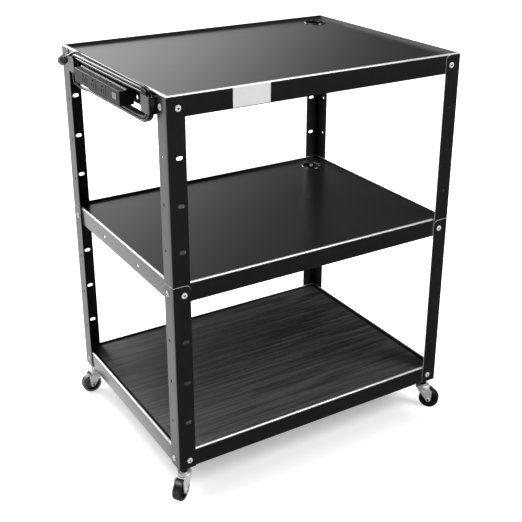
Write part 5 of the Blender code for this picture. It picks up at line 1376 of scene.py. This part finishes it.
    def fork(self) -> Skin:
        """Work out the fork as one strip of sheet, bent to a U, with the heads of its two rivets.

        Each place on the strip's middle line has a rear and a front edge: on the sides both follow the height,
        straight to the boss and then round it, and on the crown the rear one is a circle about the stem. The
        strip is that middle surface moved half its sheet thickness both ways.

        Returns:
            The fork's skin.
        """
        line = self.fork_line()
        y, z = line.T
        heights, fronts, rears = zip(self.shoulder, self.crown)
        ball = np.sqrt(np.maximum(self.boss**2 - (z - self.wheel) ** 2, 0.0))
        front = np.interp(z, [self.wheel, *heights], [self.trail + self.boss, *fronts])
        front = np.where(z < self.wheel, self.trail + ball, front)
        low, low_rear = self.rear_foot
        rear = np.where(z < low, self.trail - ball, np.interp(z, [low, *heights], [low_rear, *rears]))
        crown = np.clip((self.side - np.abs(y)) / self.fork_bend, 0.0, 1.0)
        rear = rear + crown * (-np.sqrt(self.crown_radius**2 - y**2) - rear)
        front = front + crown * (self.crown_front - front)
        x = rear[:, None] + (front - rear)[:, None] * np.linspace(0.0, 1.0, 7)[None, :]
        level = np.ones_like(x)
        middle = np.stack([x, level * y[:, None], level * z[:, None]], axis=-1)
        shift = np.column_stack([np.zeros(len(line)), normals(line)])[:, None] * self.sheet / 2
        outer, inner = moved(middle + shift, self.swivel), moved(middle - shift, self.swivel)
        skin = Skin().grid(outer).grid(inner)
        for a, b in ((outer.swapaxes(0, 1), inner.swapaxes(0, 1)), (outer, inner)):
            skin.grid(np.stack([a[0], b[0]])).grid(np.stack([a[-1], b[-1]]))
        for side in (-1, 1):
            spot = Matrix.Translation((self.rivet[0], side * (self.side + self.sheet / 2), self.rivet[1]))
            spot = self.swivel @ spot @ Matrix.Rotation(-side * QUARTER, 4, "X")
            skin.lathe(soften(mm(*self.rivet_mm), 0.0004), 24, spot)
        return skin


# Power strip


@dataclass
class PowerStrip:
    """The power strip on the top shelf's left flange: case, end caps, outlets and charging ports.

    Places along the strip are along Y, heights in its sections are the frame's, and outs are from the centre line.
    """

    back: float = 0.4073
    face: float = 0.4423
    low: float = 0.9775
    high: float = 1.0145
    step: Pair = (0.4253, 1.0115)
    step_slope: float = 0.0015
    section_radii: tuple[float, ...] = (0.0010, 0.0016, 0.0016, 0.0006, 0.0010, 0.0010)
    ends: Pair = (-0.1455, 0.1245)
    cap: float = 0.0035
    cap_gap: float = 0.0003
    wall: float = 0.0018
    outlets: Place = (0.0665, 0.0078, -0.0509)
    outlet: Pair = (0.0340, 0.0250)
    earth: Pair = (0.0038, 0.0066)
    slots: tuple[Place, Place] = ((-0.00635, 0.0100, 0.0036), (0.00635, 0.0088, 0.0036))
    slot_down: float = -0.0040
    charger_place: float = -0.1180
    charger_size: Pair = (0.0280, 0.0180)
    ports: Pair = (-0.1120, -0.1240)
    port: Pair = (0.0064, 0.0132)
    proud: float = 0.0006
    block_depth: float = 0.0120
    socket_depth: float = 0.0085
    port_depth: float = 0.0080
    play: float = 0.0006

    def section(self, inset: float, along: float) -> np.ndarray:
        """Work out the case's section at a place along Y.

        Args:
            inset: How far the section is drawn in.
            along: The place.

        Returns:
            The closed section's points in the frame's axes.
        """
        back, face, low, high = self.back + inset, self.face - inset, self.low + inset, self.high - inset
        out, height = self.step[0] - inset, self.step[1] - inset
        corners = [(back, low), (face, low), (face, height), (out, height), (out - self.step_slope, high), (back, high)]
        line = soften(corners, self.section_radii, 4, True)
        return np.column_stack([CENTRE_X - line[:, 0], np.full(len(line), along), line[:, 1]])

    def build(self) -> None:
        """Make the strip's pieces: its case with the mouths cut in its face, and all that goes in and on it."""
        inward = self.cap + self.cap_gap
        start, end = self.ends[0] + inward, self.ends[1] - inward
        walls = ((0, start), (0, end), (self.wall, end), (self.wall, start))
        levels = [self.section(inset, along) for inset, along in walls]
        mouths, mouth = Skin(), (self.face - 0.0060, self.face + 0.0040)
        blocks = [(place, self.outlet, 0.0028) for place in self.outlets]
        blocks += [(self.charger_place, self.charger_size, 0.0016)]
        for place, (length, height), radius in blocks:
            mouths.slab(rounded(length + self.play, height + self.play, radius, (place, 0)), *mouth, ON_STRIP)
        case = Skin().grid(np.stack(levels), wrap=True, loop=True)
        piece("strip_housing_case", case, (STRIP_COAT,), "strip_housing", "strip_housing", tool=mouths, edge=0.0003)
        for name, outer, inward in (("front", self.ends[0], 1), ("back", self.ends[1], -1)):
            rows = [(0.0008, 0.0), (0.0002, 0.0003), (0.0, 0.0009), (0.0, self.cap)]
            levels = [self.section(inset, outer + inward * depth) for inset, depth in rows]
            skin = Skin().grid(np.stack(levels), wrap=True).cap(levels[0]).cap(levels[-1])
            piece(f"strip_end_cap_{name}_moulding", skin, (ABS,), "black_plastic", f"strip_end_cap_{name}")
            dress(f"strip_screw_{name}", ZINC_PAINTED_SHEEN)
        for number, place in enumerate(self.outlets, start=1):
            self.block(f"outlet_{number}", "moulding", (place, self.outlet, 0.0025), self.sockets(place))
        cuts, ports = self.charging_ports()
        self.block("usb_module", "block", (self.charger_place, self.charger_size, 0.0014), cuts)
        piece("usb_module_ports", ports, (PORT_WHITE,), "usb_plastic")
        for name in ("live", "neutral", "earth"):
            dress(f"bus_bar_{name}", BRASS)

    def block(self, node: str, kind: str, shape: tuple[float, Pair, float], cuts: Skin) -> None:
        """Make a moulded block that fills one of the case's mouths.

        Args:
            node: The node that it stands for.
            kind: The last word of its name.
            shape: Its place, its length and height, and its corners' radius.
            cuts: What is cut out of its face.
        """
        place, (length, height), radius = shape
        out = self.face + self.proud
        skin = Skin().slab(rounded(length, height, radius, (place, 0.0)), out - self.block_depth, out, ON_STRIP)
        piece(f"{node}_{kind}", skin, (ABS,), "black_plastic", node, tool=cuts, edge=0.0003)

    def sockets(self, place: float) -> Skin:
        """Make what is cut from an outlet: a D-shaped earth socket over two blade slots.

        Args:
            place: The outlet's place along the strip.

        Returns:
            The tool.
        """
        out, cuts, (radius, up) = self.face + self.proud, Skin(), self.earth
        outlines = [arc(np.radians(np.linspace(-35, 215, 19)), radius) + [place, up]]
        outlines += [rounded(wide, tall, 0.0006, (place + side, self.slot_down)) for side, tall, wide in self.slots]
        for outline in outlines:
            cuts.slab(outline, out - self.socket_depth, out + 0.002, ON_STRIP)
        return cuts

    def charging_ports(self) -> tuple[Skin, Skin]:
        """Make the charging module's two ports.

        Returns:
            What is cut from the module, and the white shells with their tongues.
        """
        out, cuts, ports = self.face + self.proud, Skin(), Skin()
        deep, rim = out - self.port_depth, out + 0.0003
        for port in self.ports:
            cuts.slab(rounded(*self.port, 0.0006, (port, 0.0)), out - self.socket_depth, out + 0.002, ON_STRIP)
            outer, inner = rounded(0.0063, 0.0131, 0.0006, (port, 0.0)), rounded(0.0036, 0.0104, 0.0004, (port, 0.0))
            levels = [raised(outer, deep), raised(outer, rim), raised(inner, rim), raised(inner, deep)]
            ports.grid(moved(np.stack(levels), ON_STRIP), wrap=True, loop=True)
            ports.slab(rounded(0.0018, 0.0094, 0.0003, (port, 0.0)), deep, out - 0.0004, ON_STRIP)
        return cuts, ports


@dataclass
class CordBracket:
    """A bracket bent from strip to a U in plan, which a bend of the wound cord sits in."""

    name: str
    web: float
    inward: int
    notched: bool = False
    base: float = WALL + 0.0003
    sheet: float = 0.0015
    channel: float = 0.0165
    length: float = 0.0410
    low: float = 0.9830
    high: float = 1.0210
    bend: float = 0.0032
    notch_out: float = WALL + 0.0132
    notch: tuple[Pair, Pair] = ((0.0084, 0.0060), (1.0150, 1.0300))

    def build(self) -> None:
        """Make the bracket and the dome of its rivet: the plan's middle line moved half the sheet both ways."""
        half, node = self.sheet / 2, f"cord_bracket_{self.name}"
        near, far = self.base + half, self.base + self.sheet + self.channel + half
        end, turn = self.web + self.inward * self.length, self.web + self.inward * half
        line = soften([(near, end), (near, turn), (far, turn), (far, end)], self.bend, 6)
        shift = normals(line) * half
        skin = Skin().slab(np.vstack([line + shift, (line - shift)[::-1]]), self.low, self.high, IN_PLAN)
        tool = Skin()
        if self.notched:
            size, heights = self.notch
            tool.slab(rounded(*size, 0.0005, (self.notch_out, self.web)), *heights, IN_PLAN)
        piece(f"{node}_strip", skin, (LEG_COAT,), "strip_housing", node, tool=tool, edge=0.0003)
        dome = soften(mm((0, 1.3), (2.6, 1.1), (4.2, 0.3), (4.2, 0), (0, 0)), 0.0005)
        middle = (self.web + self.inward * self.length / 2, (self.low + self.high) / 2)
        place = frame_at((CENTRE_X - self.base - self.sheet, *middle), (-1, 0, 0))
        piece(f"{node}_rivet", Skin().lathe(dome, 32, place), (ZINC_PAINTED_SHEEN,), "zinc")


@dataclass
class LabelPlate:
    """The blank white plate on the top shelf's front flange, with rounded corners and rolled edges."""

    centre: Pair = (-0.1970, 1.0060)
    size: Pair = (0.0960, 0.0450)
    corner: float = 0.0012
    depth: Pair = (0.3030, 0.3038)

    def build(self) -> None:
        """Make the plate."""
        skin = Skin().slab(rounded(*self.size, self.corner, self.centre), *self.depth, ON_FRONT)
        piece("label_plate_blank", skin, (PLATE_PAINT,), "plate_white", "label_plate", edge=0.0002)


def main() -> None:
    """Build the studio and the cart's sub-assemblies in order."""
    logging.basicConfig(level=logging.INFO, format="%(message)s")
    Studio().build()
    PowerCord().build()
    top_holes, middle_holes = ((-0.1560, 0.9960), (0.1350, 0.9960)), ((-0.1025, 0.5635), (0.1025, 0.5635))
    # The top shelf's right lip takes the grey painted reflection.
    ShelfPan("top", side_holes=top_holes, side_hole=0.0102, right_lining=3).build()
    ShelfPan("middle", inset=0.0042, side_holes=middle_holes, side_hole=0.0096).build()
    ShelfPan("bottom", cable_hole=False).build()
    RibbedMat().build()
    for level in ("top", "middle"):
        CableGrommet(level).build()
    for leg in legs():
        leg.build()
    for corner in Corner:
        Caster(corner).build()
    PowerStrip().build()
    CordBracket("front", -0.2590, 1).build()
    CordBracket("back", 0.2180, -1, notched=True).build()
    LabelPlate().build()


if __name__ == "__main__":
    main()
